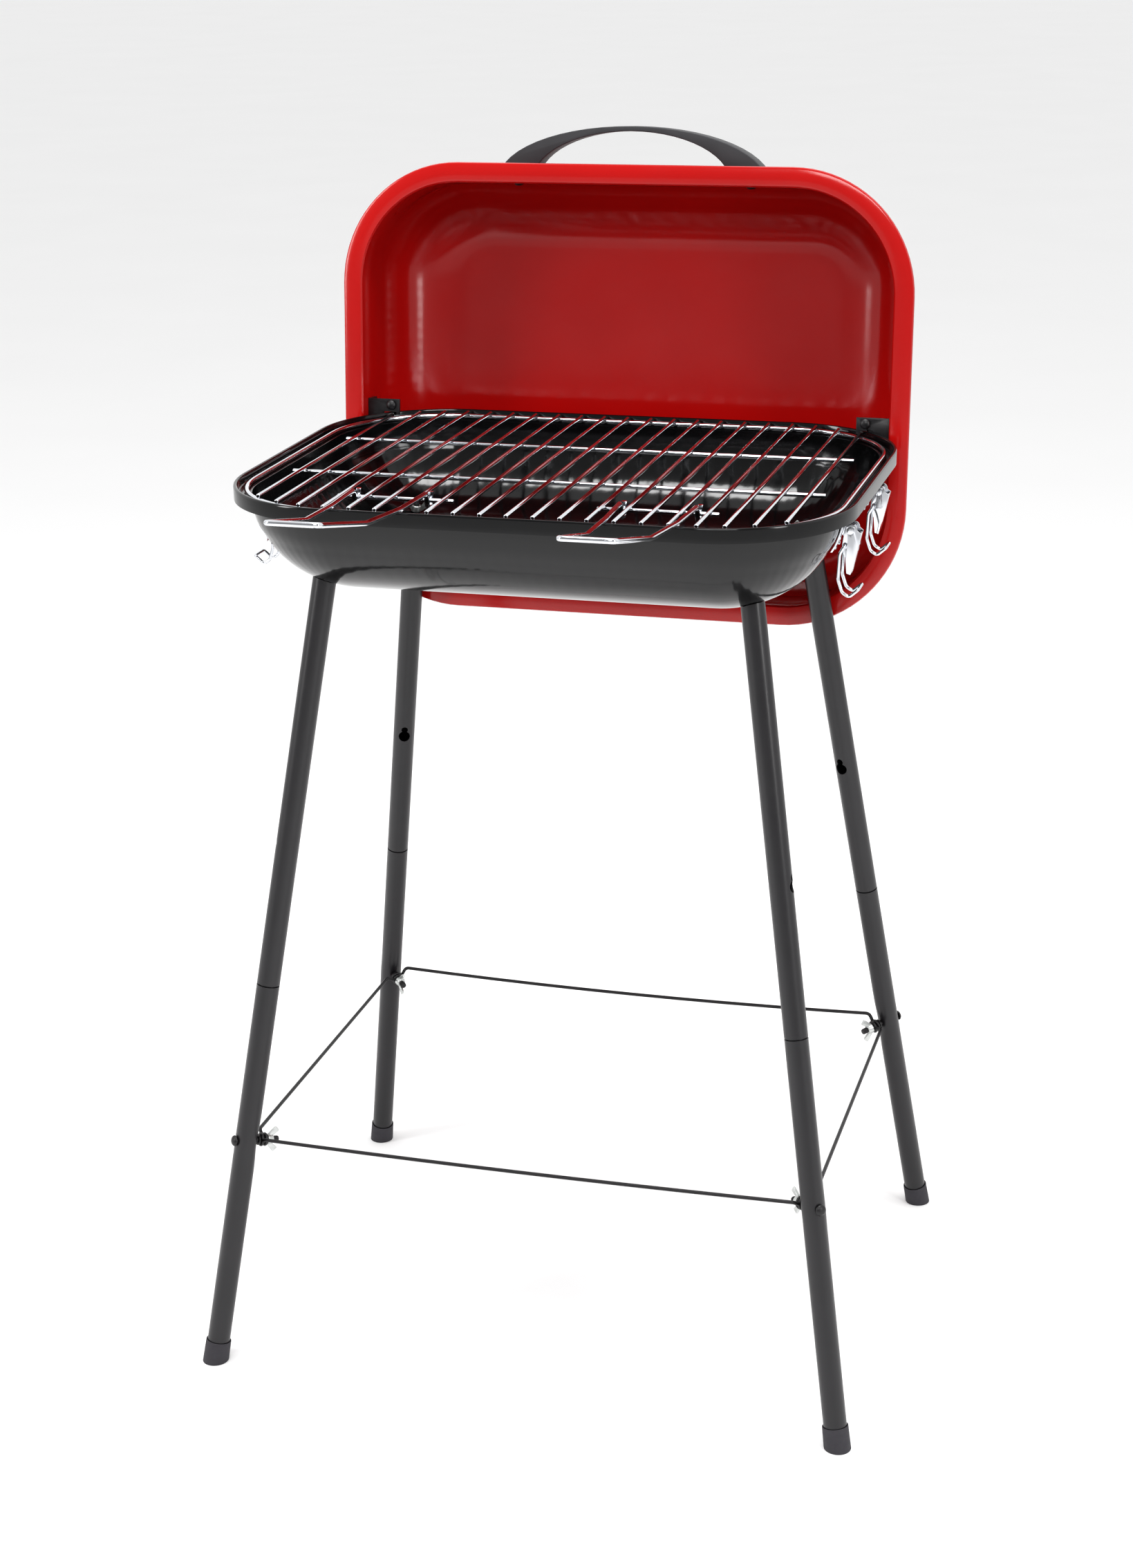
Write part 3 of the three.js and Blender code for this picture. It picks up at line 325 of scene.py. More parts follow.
def rounded_rectangle(length, width, inset, height):
    """One flat face with rounded corners, drawn in from an outline by an inset."""
    half = (length / 2 - inset, width / 2 - inset)
    deselect()
    bpy.ops.mesh.primitive_plane_add(size=2, location=(0, 0, height))
    piece = bpy.context.object
    piece.scale = (*half, 1)
    bpy.ops.object.transform_apply(location=True, rotation=True, scale=True)
    edit(piece)
    bpy.ops.mesh.subdivide(number_cuts=1)
    bpy.ops.mesh.dissolve_faces()
    done()
    pick(piece, "VERT", lambda point: all(abs(abs(point.co[i]) - half[i]) < TINY for i in (0, 1)))
    rounding = {"offset": CORNER - inset, "offset_type": "OFFSET", "profile": 0.5}
    bpy.ops.mesh.bevel(affect="VERTICES", segments=CORNER_STEPS, **rounding)
    done()
    return piece

def press(piece, profile):
    """Presses the face into a dish. The profile is [inset, height] pairs in millimetres; the first
    is where the face already lies."""
    edit(piece)
    for (inset, height), (next_inset, next_height) in zip(profile, profile[1:]):
        step_in = (next_inset - inset) * MM
        step_up = (next_height - height) * MM
        if step_in > 1e-9:
            bpy.ops.mesh.inset(thickness=step_in, depth=step_up, use_boundary=True, use_even_offset=True)
        else:
            bpy.ops.mesh.extrude_region_move(TRANSFORM_OT_translate={"value": (0, 0, step_up)})
    done()
    # extruding a lone face leaves it behind across the mouth, so it is taken out
    mouth = profile[0][1] * MM
    points = piece.data.vertices
    pick(piece, "FACE", lambda face: all(abs(points[i].co.z - mouth) < TINY for i in face.vertices))
    bpy.ops.mesh.delete(type="ONLY_FACE")
    done()
    return piece

def pressing_map(piece, length, width):
    """UV map: how far round the dish, in millimetres from the middle of a side, and the height."""
    layer = piece.data.uv_layers.new(name="pressing")
    half_x = length / 2 - CORNER
    half_y = width / 2 - CORNER
    for loop in piece.data.loops:
        point = piece.data.vertices[loop.vertex_index].co
        x, y = abs(point.x) - half_x, abs(point.y) - half_y
        if x > 0 and y > 0:
            along = half_x + CORNER * math.atan2(x, y)
        elif y >= x:
            along = abs(point.x)
        else:
            along = half_x + CORNER * math.pi / 2 + half_y - abs(point.y)
        layer.data[loop.index].uv = (along / MM, point.z / MM)


def bent(points, bend, steps=6):
    """A line through points, its corners rounded to a bend."""
    line = [points[0]]
    for before, here, after in zip(points, points[1:], points[2:]):
        back, ahead = before - here, after - here
        reach = min(bend, back.length * 0.49, ahead.length * 0.49)
        start, end = here + back.normalized() * reach, here + ahead.normalized() * reach
        for i in range(steps + 1):
            t = i / steps
            line.append(start * (1 - t) ** 2 + here * (2 * t * (1 - t)) + end * t**2)
    return line + [points[-1]]


def drawn_wire(points, radius, sides):
    """A round wire along points: one point is extruded along them, and the line gets its radius."""
    deselect()
    bpy.ops.mesh.primitive_plane_add(size=1, location=(0, 0, 0))
    piece = bpy.context.object
    edit(piece, "VERT")
    bpy.ops.mesh.merge(type="CENTER")
    bpy.ops.transform.translate(value=points[0])
    for start, end in zip(points, points[1:]):
        bpy.ops.mesh.extrude_region_move(TRANSFORM_OT_translate={"value": end - start})
    done()
    choose(piece)
    bpy.ops.object.convert(target="CURVE")
    line = bpy.context.object
    line.data.bevel_depth = radius
    line.data.bevel_resolution = sides
    line.data.use_fill_caps = True
    bpy.ops.object.convert(target="MESH")
    return bpy.context.object


def rod(radius, start, end, sides=16, soft=0.0):
    """A straight round bar between two points, its ends softened."""
    start, end = Vector(start), Vector(end)
    deselect()
    length = (end - start).length
    bpy.ops.mesh.primitive_cylinder_add(vertices=sides, radius=radius, depth=length)
    piece = bpy.context.object
    if soft:
        ease(piece, soft, 2, 50)
    return put(piece, towards((start + end) / 2, end - start))


def ring(radius, wire, spot, segments, sides):
    """A round ring, put at its place with its axis along the place's Z."""
    deselect()
    size = {"major_radius": radius, "minor_radius": wire}
    bpy.ops.mesh.primitive_torus_add(major_segments=segments, minor_segments=sides, **size)
    return put(bpy.context.object, spot)

def eased_copy(name, width, segments=2):
    """A copy of a CAD piece with its edges eased by a small bevel."""
    piece = duplicate(frame["nodes"][name])
    piece.parent = None
    piece.matrix_world = Matrix.Identity(4)
    edit(piece)
    bpy.ops.mesh.remove_doubles(threshold=1e-6)
    bpy.ops.mesh.dissolve_limited(angle_limit=math.radians(1))
    done()
    if width:
        ease(piece, width, segments, 40)
    return piece


# ---------- bowl ----------

LEDGE = -6.5
WALL_TOP = -7.7
BOWL_FLOOR = -79.8
WALL_REACH = 84.8
WALL_FALL = 72.1


def wall_points(reach, fall, top, steps, last=82):
    """The wall of the bowl, a quarter ellipse from its top towards its flat floor."""
    points = []
    for i in range(1, steps + 1):
        angle = math.radians(last * i / steps)
        points.append((CORNER / MM - reach * math.cos(angle), top - fall * math.sin(angle)))
    return points


edge = [(0, -11), (0, -1.5), (0.15, -0.75), (0.6, -0.2), (1.3, 0)]
edge += [(2.0, -0.1), (2.6, -0.5), (3.0, -1.4), (3.2, -4.8)]
ledge = [(3.5, -6.0), (4.3, LEDGE), (12.6, LEDGE), (13.8, -6.9)]
wall = wall_points(WALL_REACH, WALL_FALL, WALL_TOP, 22)
# a shallow step that stiffens the wall about a third of the way down
wall = [(inset + (0.9 if height < -31 else 0), height) for inset, height in wall if inset > 14.2]
bottom = [(92.5, BOWL_FLOOR + 0.35), (96.5, BOWL_FLOOR)]
bowl = rounded_rectangle(BOWL_LENGTH, BOWL_WIDTH, 0, edge[0][1] * MM)
press(bowl, edge + ledge + wall + bottom)
pressing_map(bowl, BOWL_LENGTH, BOWL_WIDTH)
for loop in bowl.data.uv_layers["pressing"].data:
    loop.uv.y = -loop.uv.y
modify(bowl, "SOLIDIFY", thickness=SHEET, offset=-1)
put(bowl, Matrix.Translation((0, BOWL_MIDDLE, RIM)))
ready(bowl, "pressed_bowl", "bowl_enamel", "stand", "bowl", degrees=30)

# the bowl's outer form, closed, that shapes the tops of the legs
outer_wall = wall_points(WALL_REACH + 1.5, WALL_FALL + 1.5, WALL_TOP, 22, last=86)
form = rounded_rectangle(BOWL_LENGTH, BOWL_WIDTH, 13 * MM, 30 * MM)
form_profile = [(12.4, 30)] + [point for point in outer_wall if point[0] > 13] + [(98.2, BOWL_FLOOR - 1.5)]
press(form, form_profile)
edit(form)
bpy.ops.mesh.select_all(action="DESELECT")
bpy.ops.mesh.select_mode(type="EDGE")
bpy.ops.mesh.select_non_manifold()
bpy.ops.mesh.edge_face_add()
bpy.ops.mesh.select_all(action="SELECT")
bpy.ops.mesh.normals_make_consistent(inside=False)
done()
put(form, Matrix.Translation((0, BOWL_MIDDLE, RIM)))

# ---------- lid ----------

LID_LENGTH = 473.5 * MM
LID_WIDTH = 364 * MM
FLANGE = 15.0
LID_DEPTH = 100.0
LID_BEND = 57.0
TILT = math.radians(5.2)

lip = [(1.2, 4.0), (1.2, 2.2), (1.5, 1.5), (2.2, 1.2)]
lip += [(12.9, 1.2), (14.2, 1.5), (14.85, 2.2), (FLANGE, 3.4)]
side = [(FLANGE, 22.0), (FLANGE + 0.01, LID_DEPTH - LID_BEND)]
turn_in = []
for i in range(1, 17):
    angle = math.radians(90 * i / 16)
    inset = FLANGE + LID_BEND * (1 - math.cos(angle))
    turn_in.append((inset, LID_DEPTH - LID_BEND * (1 - math.sin(angle))))
lid = rounded_rectangle(LID_LENGTH, LID_WIDTH, SHEET, lip[0][1] * MM)
press(lid, lip + side + turn_in)
pressing_map(lid, LID_LENGTH, LID_WIDTH)
modify(lid, "SOLIDIFY", thickness=SHEET, offset=-1)
lid_low, lid_high = (Vector(corner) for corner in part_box("lid"))
depth_way = Vector((0, math.cos(TILT), -math.sin(TILT)))
lid_middle = Vector((0, lid_low.y - 0.3 * MM, lid_high.z))
lid_middle += LID_WIDTH / 2 * Vector((0, math.sin(TILT), -math.cos(TILT)))
put(lid, towards(lid_middle, depth_way, (1, 0, 0)))
ready(lid, "pressed_lid", "lid_enamel", "lid_set", "lid", degrees=30)

handle = eased_copy("lid_handle", width=2.2 * MM, segments=4)
ready(handle, "lid_carry_handle", "handle_plastic", "lid_set", "lid_handle", degrees=50)

for side_name in ("left", "right"):
    hook = eased_copy(f"lid_hook_{side_name}", width=0.35 * MM)
    ready(hook, f"lid_hook_bracket_{side_name}", "black_steel", "lid_set", f"lid_hook_{side_name}")
    for kind in ("lid_hook_screw", "lid_handle_screw"):
        screw = eased_copy(f"{kind}_{side_name}", width=0.35 * MM)
        screw_name = f"{kind}_round_head_{side_name}"
        ready(screw, screw_name, "black_steel", "lid_set", f"{kind}_{side_name}", degrees=60)

# ---------- legs ----------

TUBE = 9 * MM
WALL = 1.2 * MM
SEAM = 316 * MM
KEYHOLE_AT = 429 * MM
CAP = 10.55 * MM
CAP_TOP = 18 * MM
CAP_LENGTH = 28 * MM  # before its lower end is cut flat on the floor
CAP_TAPER = 0.5 * MM
CAP_SOCKET = 16.5 * MM
KEYHOLE = 4.8 * MM
KEYHOLE_SLOT = 2.7 * MM
KEYHOLE_SLOT_UP = 6.2 * MM
KEYHOLE_TURN = {"front_left": 180, "front_right": 0, "rear_left": -69, "rear_right": -111}


def leg_line(name):
    """Foot of a leg's axis at floor level, and the direction up the leg."""
    joint = JOINTS[f"leg_wing_nut_{name}"]
    way, at = Vector(joint["axis"]).normalized(), Vector(joint["pos_m"])
    return at - way * (at.z / way.z), way


def bolt_line(name):
    """Seat of a stretcher's wing nut, and the direction along its bolt."""
    joint = JOINTS[f"stretcher_wing_nut_{name}"]
    return Vector(joint["pos_m"]), Vector(joint["axis"]).normalized()


def tube(rings, radius, wall, sides=48):
    """An open tube along Z through rings at the given heights, with a wall to the inside."""
    deselect()
    bpy.ops.mesh.primitive_circle_add(vertices=sides, radius=radius, location=(0, 0, rings[0]))
    piece = bpy.context.object
    bpy.ops.object.transform_apply(location=True)
    edit(piece, "EDGE")
    for low, high in zip(rings, rings[1:]):
        bpy.ops.mesh.extrude_region_move(TRANSFORM_OT_translate={"value": (0, 0, high - low)})
    bpy.ops.mesh.select_all(action="SELECT")
    bpy.ops.mesh.normals_make_consistent(inside=False)
    done()
    modify(piece, "SOLIDIFY", thickness=wall, offset=-1)
    return piece


for name, (x, y) in CORNERS.items():
    foot, way = leg_line(name)
    stretch = 1 / way.z
    seat, bolt_way = bolt_line(name)
    upright = towards(foot, way)

    upper = tube([SEAM * stretch + 0.3 * MM, 500 * MM, 665 * MM], TUBE, WALL)
    put(upper, upright)
    modify(upper, "BOOLEAN", object=form, operation="DIFFERENCE", solver="EXACT")
    turn = math.radians(KEYHOLE_TURN[name])
    facing = Vector((math.cos(turn), math.sin(turn), 0))
    hole_at = foot + way * (KEYHOLE_AT * stretch)
    drill_from, drill_to = facing * 4 * MM, facing * 14 * MM
    round_hole = rod(KEYHOLE, hole_at + drill_from, hole_at + drill_to, 32)
    slot_up = (way - facing * way.dot(facing)).normalized()
    slot_at = hole_at + slot_up * KEYHOLE_SLOT_UP
    slot = rod(KEYHOLE_SLOT, slot_at + drill_from, slot_at + drill_to, 24)
    for cutter in (round_hole, slot):
        modify(upper, "BOOLEAN", object=cutter, operation="DIFFERENCE", solver="EXACT")
        bpy.data.objects.remove(cutter)
    ready(upper, f"upper_tube_{name}", "leg_paint", "stand", f"leg_upper_{name}", degrees=40)

    # lower tube, squeezed a little where the bolt goes through, with its reduced neck
    crossing = 187 * MM * stretch
    rings = [2.5 * MM] + [crossing + step * MM for step in range(-40, 44, 4)] + [SEAM * stretch - 0.8 * MM]
    lower = tube(rings, TUBE, WALL)
    bolt_flat = (upright.inverted().to_3x3() @ bolt_way).normalized()
    for point in lower.data.vertices:
        off = point.co.z - crossing
        share = math.exp(-((off / (13 * MM)) ** 2))
        radial = Vector((point.co.x, point.co.y, 0)).normalized()
        facing_bolt = radial.dot(bolt_flat)
        squeeze = 1.7 * MM * max(facing_bolt, 0) ** 3 - 0.25 * MM * (1 - facing_bolt**2)
        point.co -= radial * squeeze * share
    neck = tube([SEAM * stretch - 3 * MM, (SEAM + 40 * MM) * stretch], TUBE - WALL - 0.3 * MM, WALL)
    lower = merge([lower, neck])
    put(lower, upright)
    ready(lower, f"lower_tube_{name}", "leg_paint", "stand", f"leg_lower_{name}", degrees=40)

    deselect()
    cone = {"radius1": CAP, "radius2": CAP - CAP_TAPER, "depth": CAP_LENGTH}
    cone_middle = (0, 0, CAP_TOP - CAP_LENGTH / 2)
    bpy.ops.mesh.primitive_cone_add(vertices=48, location=cone_middle, **cone)
    cap = bpy.context.object
    bpy.ops.object.transform_apply(location=True)
    pick(cap, "FACE", lambda face: face.normal.z > 0.9)
    bpy.ops.mesh.inset(thickness=CAP - CAP_TAPER - TUBE - 0.25 * MM)
    bpy.ops.mesh.extrude_region_move(TRANSFORM_OT_translate={"value": (0, 0, -CAP_SOCKET)})
    done()
    ease(cap, 0.9 * MM, 3, 50)
    put(cap, upright)
    edit(cap)
    bpy.ops.mesh.bisect(plane_co=(0, 0, 0.0002), plane_no=(0, 0, 1), use_fill=True, clear_inner=True)
    done()
    ease(cap, 1.6 * MM, 4, 60)
    ready(cap, f"moulded_foot_{name}", "foot_plastic", "stand", f"foot_cap_{name}", degrees=40)

bpy.data.objects.remove(form)

# ---------- screws, bolts and wing nuts ----------

BOLT = 2.5 * MM
THREAD = 0.3 * MM


def cast_wing_nut():
    """A wing nut on Z, its base at the origin and its wings towards X."""
    deselect()
    boss = {"radius1": 4.5 * MM, "radius2": 3.7 * MM, "depth": 5 * MM}
    bpy.ops.mesh.primitive_cone_add(vertices=32, location=(0, 0, 2.5 * MM), **boss)
    hub = bpy.context.object
    bpy.ops.object.transform_apply(location=True)
    ease(hub, 0.6 * MM, 3, 50)
    wings = []
    for side_way in (-1, 1):
        deselect()
        bpy.ops.mesh.primitive_cube_add(size=1)
        wing = bpy.context.object
        wing.scale = (2.1 * MM, 4.6 * MM, 9 * MM)
        bpy.ops.object.transform_apply(scale=True)
        edit(wing)
        bpy.ops.mesh.subdivide(number_cuts=2)
        done()
        for point in wing.data.vertices:
            share = point.co.z / (9 * MM) + 0.5
            point.co.y *= 0.7 + 0.45 * share
            point.co.x *= 1.25 - 0.35 * share
        modify(wing, "SUBSURF", levels=2, render_levels=2)
        lean = Matrix.Rotation(math.radians(42) * side_way, 4, "Y")
        root = Matrix.Translation((6.2 * MM * side_way, 0, 4.9 * MM))
        put(wing, root @ lean @ Matrix.Rotation(math.pi / 2, 4, "Z"))
        wings.append(wing)
    return merge([hub] + wings)


wing_nut = cast_wing_nut()
for name in CORNERS:
    for kind in ("leg", "stretcher"):
        joint = JOINTS[f"{kind}_wing_nut_{name}"]
        nut = duplicate(wing_nut)
        if kind == "leg":
            spot = towards(Vector(joint["pos_m"]), joint["axis"], (1, 0, 0))
        else:
            spot = towards(Vector(joint["pos_m"]), joint["axis"]) @ Matrix.Rotation(math.pi / 2, 4, "Z")
        put(nut, spot)
        nut_name, stands_for = f"{kind}_cast_wing_nut_{name}", f"{kind}_wing_nut_{name}"
        ready(nut, nut_name, "zinc", f"{kind}_nut_{name}", stands_for, degrees=60)
bpy.data.objects.remove(wing_nut)


def threads(start, end, way):
    """A threaded shank: a row of shallow rings along a bolt."""
    pieces = [rod(BOLT - 0.25 * MM, start, end, 20, 0.4 * MM)]
    pitch = 0.8 * MM
    for i in range(int((end - start).length / pitch) - 1):
        at = start + way * (pitch * (i + 0.8))
        pieces.append(ring(BOLT - THREAD, THREAD, towards(at, way), 20, 6))
    return pieces


for name in CORNERS:
    foot, way = leg_line(name)
    low, high = (Vector(corner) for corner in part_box(f"leg_bolt_{name}"))
    start = foot + way * ((low.z + 1 * MM - foot.z) / way.z)
    end = foot + way * ((high.z - 1 * MM - foot.z) / way.z)
    plug = rod(4.2 * MM, start, start + way * 4 * MM, 24, 0.5 * MM)
    turned = threads(start + way * 20 * MM, end, way)
    shank = merge([plug] + turned + [rod(BOLT, start, end - way * 12 * MM, 20)])
    ready(shank, f"leg_threaded_bolt_{name}", "black_steel", "stand", f"leg_bolt_{name}")

    seat, way = bolt_line(name)
    outer = seat - way * 26.6 * MM
    deselect()
    bpy.ops.mesh.primitive_uv_sphere_add(segments=32, ring_count=16, radius=4.4 * MM)
    head = bpy.context.object
    edit(head)
    bpy.ops.mesh.bisect(plane_co=(0, 0, 0), plane_no=(0, 0, 1), use_fill=True, clear_outer=True)
    bpy.ops.mesh.select_all(action="SELECT")
    bpy.ops.transform.resize(value=(1, 1, 2.7 / 4.4))
    done()
    put(head, towards(outer, way))
    tip = seat + way * 9.8 * MM
    shank = merge([head, rod(BOLT, outer - way * 0.5 * MM, seat, 20)] + threads(seat, tip, way))
    ready(shank, f"stretcher_round_bolt_{name}", "black_steel", "stand", f"stretcher_bolt_{name}")
    spacer = eased_copy(f"stretcher_spacer_{name}", width=0)
    ready(spacer, f"stretcher_washer_{name}", "black_steel", "stand", f"stretcher_spacer_{name}")

# ---------- stretchers ----------

ROD = 1.5 * MM
EYE_BACK = {"front": 5.1, "rear": 5.1, "left": 1.8, "right": 1.8}  # middle of each eye before the nut
RODS = {
    "front": ("front_left", "front_right", 8.6, 3.0, 2.0),
    "rear": ("rear_left", "rear_right", 8.6, 8.5, 4.0),
    "left": ("front_left", "rear_left", 11.5, 4.0, 0.0),
    "right": ("front_right", "rear_right", 11.5, 2.0, 0.0),
}
for rod_name, (first, second, aside, rise, sag) in RODS.items():
    ends, eyes = [], []
    along = (leg_line(second)[0] - leg_line(first)[0]).normalized()
    for corner, sign in ((first, 1), (second, -1)):
        seat, way = bolt_line(corner)
        spot = towards(seat - way * EYE_BACK[rod_name] * MM, way)
        across = Vector(spot.col[0][:3])
        step = sign if across.dot(along) > 0 else -sign
        root, turn_off = Vector((step * 4.3, 0.6, 0)), Vector((step * aside, rise, 0))
        ends.append([spot @ (root * MM), spot @ (turn_off * MM)])
        eyes.append(ring(4.15 * MM, 1.35 * MM, spot, 32, 12))
    (root, start), (other_root, end) = ends
    middle = []
    for i in range(11):
        t = i / 10
        middle.append(start.lerp(end, t) - Vector((0, 0, 4 * sag * MM * t * (1 - t))))
    line = bent([root] + middle + [other_root], 3 * MM, 4)
    piece = merge([drawn_wire(line, ROD - 0.05 * MM, sides=4)] + eyes)
    ready(piece, f"stretcher_rod_{rod_name}", "black_steel", "stand", f"stretcher_{rod_name}", degrees=60)

# ---------- cooking grid ----------

EDGE_WIRE, BAR_WIRE, CROSS_WIRE = 2.0 * MM, 1.6 * MM, 1.7 * MM
GRID_EDGE = RIM - 4.2 * MM
BARS = RIM - 1.0 * MM
CROSS = RIM - 3.9 * MM
GRID_INSET = 10 * MM
PITCH = 19.7 * MM
WIRE_END = 0.6 * MM  # rounding of a wire's cut ends

ring_face = rounded_rectangle(BOWL_LENGTH, BOWL_WIDTH, GRID_INSET, 0)
edit(ring_face)
bpy.ops.mesh.delete(type="ONLY_FACE")
done()
choose(ring_face)
bpy.ops.object.convert(target="CURVE")
ring_line = bpy.context.object
ring_line.data.bevel_depth = EDGE_WIRE
ring_line.data.bevel_resolution = 4
bpy.ops.object.convert(target="MESH")
wires = [put(bpy.context.object, Matrix.Translation((0, BOWL_MIDDLE, GRID_EDGE)))]

bend = CORNER - GRID_INSET
straight_x = BOWL_LENGTH / 2 - CORNER
straight_y = BOWL_WIDTH / 2 - CORNER
for i in range(-10, 11):
    x = i * PITCH
    past = max(abs(x) - straight_x, 0)
    reach = straight_y + math.sqrt(bend**2 - past**2) + 0.9 * MM
    front, back = BOWL_MIDDLE - reach, BOWL_MIDDLE + reach
    wires.append(rod(BAR_WIRE, (x, front, BARS), (x, back, BARS), 16, WIRE_END))
for behind_middle in (-53, 65):
    y = BOWL_MIDDLE + behind_middle * MM
    half = 10 * PITCH + 10 * MM
    wires.append(rod(CROSS_WIRE, (-half, y, CROSS), (half, y, CROSS), 16, WIRE_END))
for x in (-99, 99):
    y = BOWL_MIDDLE - 125 * MM
    start, end = ((x - 45) * MM, y, CROSS), ((x + 45) * MM, y, CROSS)
    wires.append(rod(CROSS_WIRE, start, end, 16, WIRE_END))
ready(merge(wires), "welded_wire_grid", "chrome", "grid", "cooking_grid", degrees=60)

# ---------- grips ----------

GRIP_WIRE = 2.0 * MM
for side_name in ("left", "right"):
    hinge = Vector(JOINTS[f"grip_{side_name}_fold"]["pos_m"])
    over_rim = RIM + 2.6 * MM
    bend_y = BOWL_MIDDLE - BOWL_WIDTH / 2 - 61 * MM
    end_y = bend_y - 81 * MM

    def half_loop(way):
        x = hinge.x + way * 28 * MM
        points = [Vector((x, hinge.y + 5 * MM, hinge.z + 5.5 * MM))]
        for angle in range(0, 181, 20):
            turn = math.radians(angle)
            points.append(Vector((x, hinge.y + 5 * MM * math.cos(turn), hinge.z - 5 * MM * math.sin(turn))))
        bends = [
            Vector((x, hinge.y - 5 * MM, over_rim - 3 * MM)),
            Vector((x, hinge.y - 8 * MM, over_rim)),
            Vector((hinge.x + way * 26 * MM, BOWL_MIDDLE - BOWL_WIDTH / 2, over_rim + 0.3 * MM)),
            Vector((hinge.x + way * 22.3 * MM, bend_y, over_rim + 4.5 * MM)),
            Vector((hinge.x + way * 19 * MM, end_y, over_rim + 22.5 * MM)),
        ]
        return points + bends

    first, second = half_loop(-1), half_loop(1)
    line = first[:11] + bent(first[10:] + second[:9:-1], 4 * MM, 5)[1:-1] + second[10::-1]
    loop = drawn_wire(line, GRIP_WIRE, sides=4)

    # pressed plate across the outer end, with two oval bosses
    slope = math.atan2(18, 82)
    deselect()
    bpy.ops.mesh.primitive_circle_add(vertices=48, radius=19 * MM, fill_type="NGON")
    lens = bpy.context.object
    for point in lens.data.vertices:
        share = 1 - (point.co.x / (19 * MM)) ** 2
        point.co.y = (7.5 if point.co.y > 0 else -2.0) * MM * max(share, 0)
    edit(lens)
    bpy.ops.mesh.remove_doubles(threshold=1e-5)
    bpy.ops.mesh.extrude_region_move(TRANSFORM_OT_translate={"value": (0, 0, 1.2 * MM)})
    bpy.ops.mesh.select_all(action="SELECT")
    bpy.ops.mesh.normals_make_consistent(inside=False)
    done()
    ease(lens, 0.35 * MM, 2, 50)
    parts = [lens]
    for x in (-6.5, 6.5):
        deselect()
        at = (x * MM, 2.6 * MM, 1.1 * MM)
        bpy.ops.mesh.primitive_uv_sphere_add(segments=24, ring_count=12, radius=1 * MM, location=at)
        boss = bpy.context.object
        boss.scale = (3.6, 1.9, 0.9)
        bpy.ops.object.transform_apply(location=True, scale=True)
        parts.append(boss)
    plate = merge(parts)
    tilt = Matrix.Rotation(-slope, 4, "X")
    spot = Matrix.Translation((hinge.x, end_y + 1 * MM, over_rim + 22.2 * MM))
    put(plate, spot @ tilt @ Matrix.Translation((0, 0, -0.6 * MM)))
    grip, stands_for = merge([loop, plate]), f"grid_grip_{side_name}"
    ready(grip, f"folding_grip_{side_name}", "chrome", f"grip_{side_name}", stands_for, degrees=50)

# ---------- toggle latches ----------

# one side of a bail, from its pivot to its hooked tip: outwards, aside and up, in millimetres
BAIL_SIDE = [(0, 4.9, 0), (0, 8.7, 0), (-3.4, 8.7, -6), (-4.3, 8.7, -25)]
BAIL_SIDE += [(-1, 8.7, -35), (4, 8.7, -38), (10.8, 8.7, -32)]

for name, (x, y) in CORNERS.items():
    backing = eased_copy(f"latch_plate_{name}", width=0.3 * MM)
    pin = Vector(JOINTS[f"latch_lever_{name}"]["pos_m"])
    rivets = []
    for up, offset in ((-5.5, 7.4), (-12.5, 7.4), (-5.5, -7.4), (-12.5, -7.4)):
        height = pin.z + up * MM
        share = (RIM - 7.7 * MM - height) / (73.3 * MM)
        wall_x = BOWL_LENGTH / 2 - CORNER + 86 * MM * math.sqrt(1 - share**2)
        deselect()
        bpy.ops.mesh.primitive_uv_sphere_add(segments=16, ring_count=8, radius=1.7 * MM)
        rivet = bpy.context.object
        rivet.scale = (0.6, 1, 1)
        rivet.location = (x * (wall_x + 1.9 * MM), pin.y + offset * MM, height)
        bpy.ops.object.transform_apply(location=True, scale=True)
        rivets.append(rivet)
    plate = merge([backing] + rivets)
    ready(plate, f"latch_wall_plate_{name}", "chrome", "stand", f"latch_plate_{name}", degrees=40)

    lever = eased_copy(f"latch_lever_{name}", width=0.35 * MM)
    lever_name = f"latch_over_centre_lever_{name}"
    ready(lever, lever_name, "chrome", f"lever_{name}", f"latch_lever_{name}", degrees=40)

    hinge = Vector(JOINTS[f"latch_bail_{name}"]["pos_m"])
    loop = []
    for way in (-1, 1):
        steps = [Vector((x * out, way * across, up)) * MM for out, across, up in BAIL_SIDE]
        loop.append([hinge + step for step in steps])
    line = bent(loop[0] + loop[1][::-1], 2.2 * MM, 5)
    bail = drawn_wire(line, 1.2 * MM, sides=4)
    ready(bail, f"latch_wire_bail_{name}", "chrome", f"bail_{name}", f"latch_bail_{name}", degrees=60)

# ---------- floor, light and camera ----------

floor_material, tree, shader, place = finish("pale_floor", "#f4f4f4", roughness=0.9)
tree.links.new(blend(tree, noise(tree, place, 400, 2), "#f5f5f5", "#f2f2f2"), shader.inputs["Base Color"])
deselect()
bpy.ops.mesh.primitive_plane_add(size=90, location=(0, 0, 0))
floor = bpy.context.object
bpy.ops.object.transform_apply(location=True)
floor.name = "studio_floor"
floor.data.materials.append(floor_material)

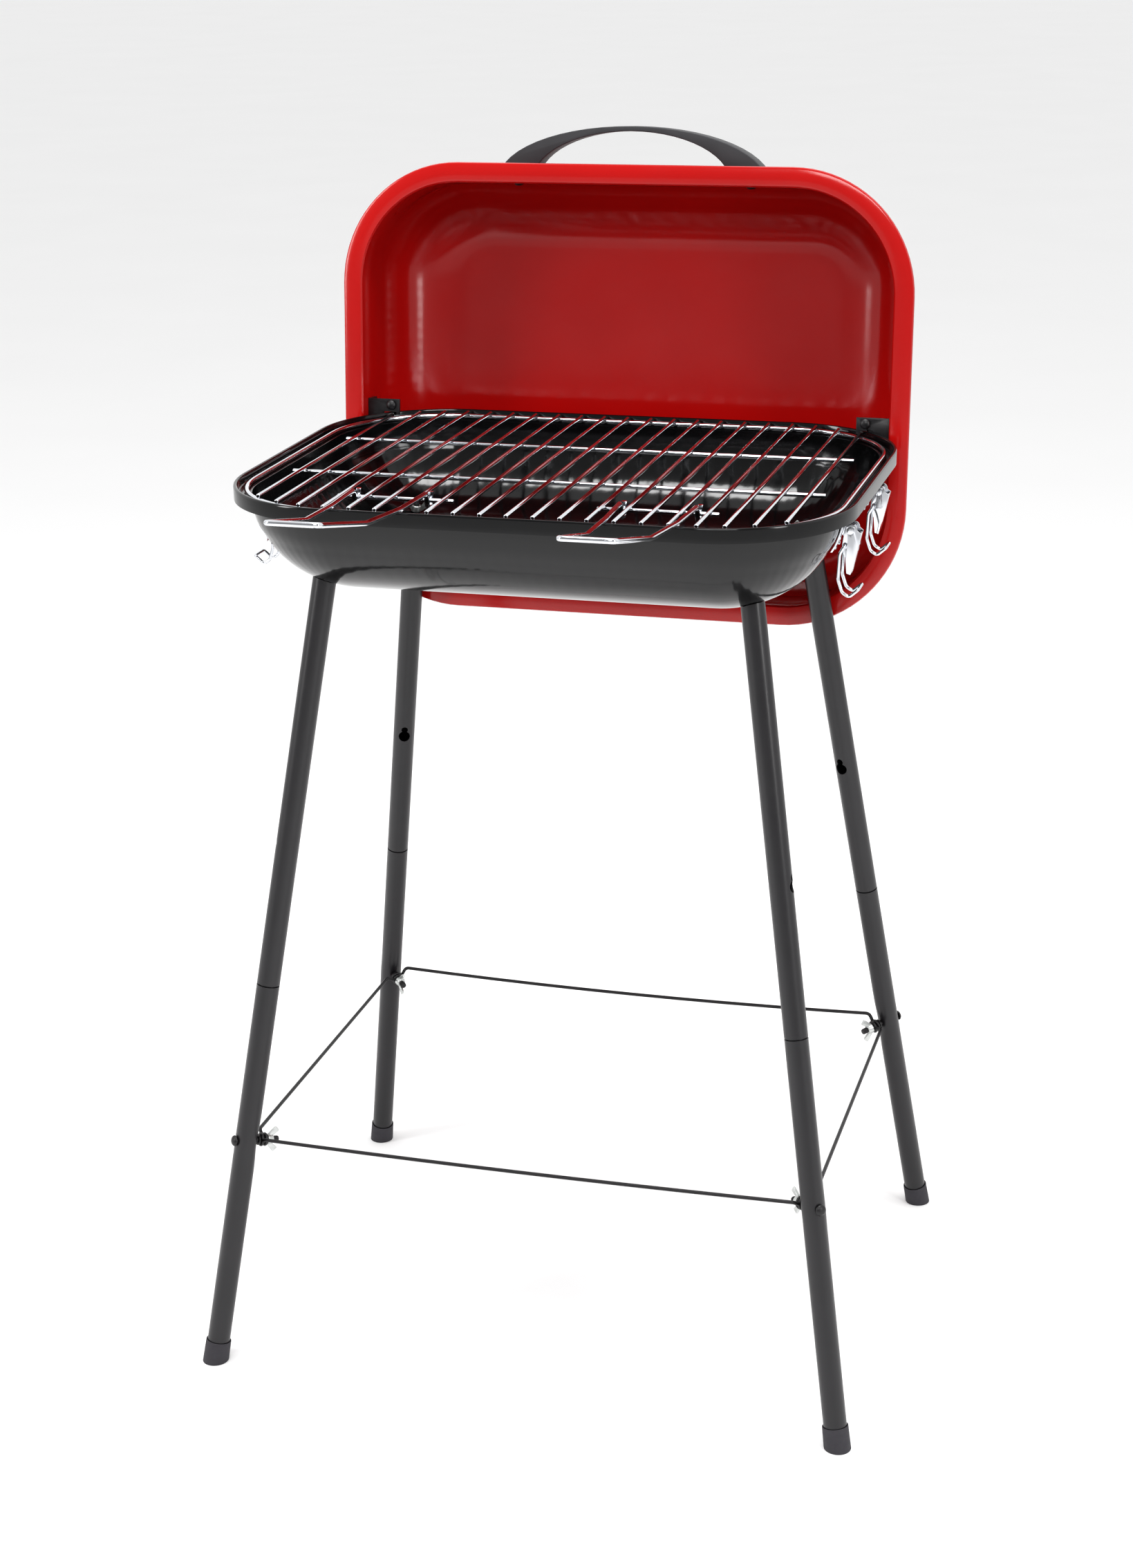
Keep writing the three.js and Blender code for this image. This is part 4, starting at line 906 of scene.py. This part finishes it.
# The studio: bright white walls above and behind, and a darker side where the camera stands.
world = bpy.data.worlds.new("soft_studio")
bpy.context.scene.world = world
world.use_nodes = True
sky = world.node_tree
way = node(sky, "ShaderNodeSeparateXYZ", {"Vector": node(sky, "ShaderNodeTexCoord").outputs["Generated"]})
shade = {"Value": way.outputs["Y"], "From Min": -0.9, "From Max": 0.3, "To Min": 0.3, "To Max": 1.0}
backward = node(sky, "ShaderNodeMapRange", shade, interpolation_type="SMOOTHSTEP")
sky.links.new(backward.outputs["Result"], sky.nodes["Background"].inputs["Strength"])
sky.nodes["Background"].inputs["Color"].default_value = (1, 1, 1, 1)


def soft_light(name, at, aim, size, power):
    deselect()
    bpy.ops.object.light_add(type="AREA", location=at)
    light = bpy.context.object
    light.name = name
    light.data.shape = "RECTANGLE"
    light.data.size, light.data.size_y = size
    light.data.energy = power
    light.rotation_euler = (Vector(aim) - Vector(at)).to_track_quat("-Z", "Y").to_euler()


soft_light("overhead_box", (0.1, -0.2, 2.3), (0, 0.1, 0.7), (1.3, 0.45), 22)
soft_light("left_box", (-2.2, -1.5, 1.5), (0, 0, 0.6), (0.5, 1.6), 22)
soft_light("right_box", (2.3, -1.3, 1.4), (0, 0, 0.6), (0.5, 1.6), 18)
soft_light("front_box", (0.5, -2.6, 2.5), (0, 0.2, 0.7), (1.6, 0.6), 28)
bpy.context.scene.view_settings.view_transform = "Standard"
bpy.context.scene.view_settings.look = "Medium High Contrast"

PAN, TIP, ROLL = math.radians(16.069), math.radians(19.467), math.radians(-1.008)
look = Vector((-math.sin(PAN) * math.cos(TIP), math.cos(PAN) * math.cos(TIP), -math.sin(TIP)))
right = Vector((math.cos(PAN), math.sin(PAN), 0))
above = right.cross(look)
level, plumb = right, above
right = math.cos(ROLL) * level + math.sin(ROLL) * plumb
above = math.cos(ROLL) * plumb - math.sin(ROLL) * level
deselect()
bpy.ops.object.camera_add()
camera = bpy.context.object
stand_at = Matrix.Translation((0.54465, BOWL_MIDDLE - 1.92005, 1.15078))
camera.matrix_world = stand_at @ Matrix((right, above, -look)).transposed().to_4x4()
camera.data.sensor_fit = "VERTICAL"
camera.data.sensor_height = 24
camera.data.lens = 24 * 3838.6 / 2268
camera.data.dof.use_dof = False
bpy.context.scene.camera = camera
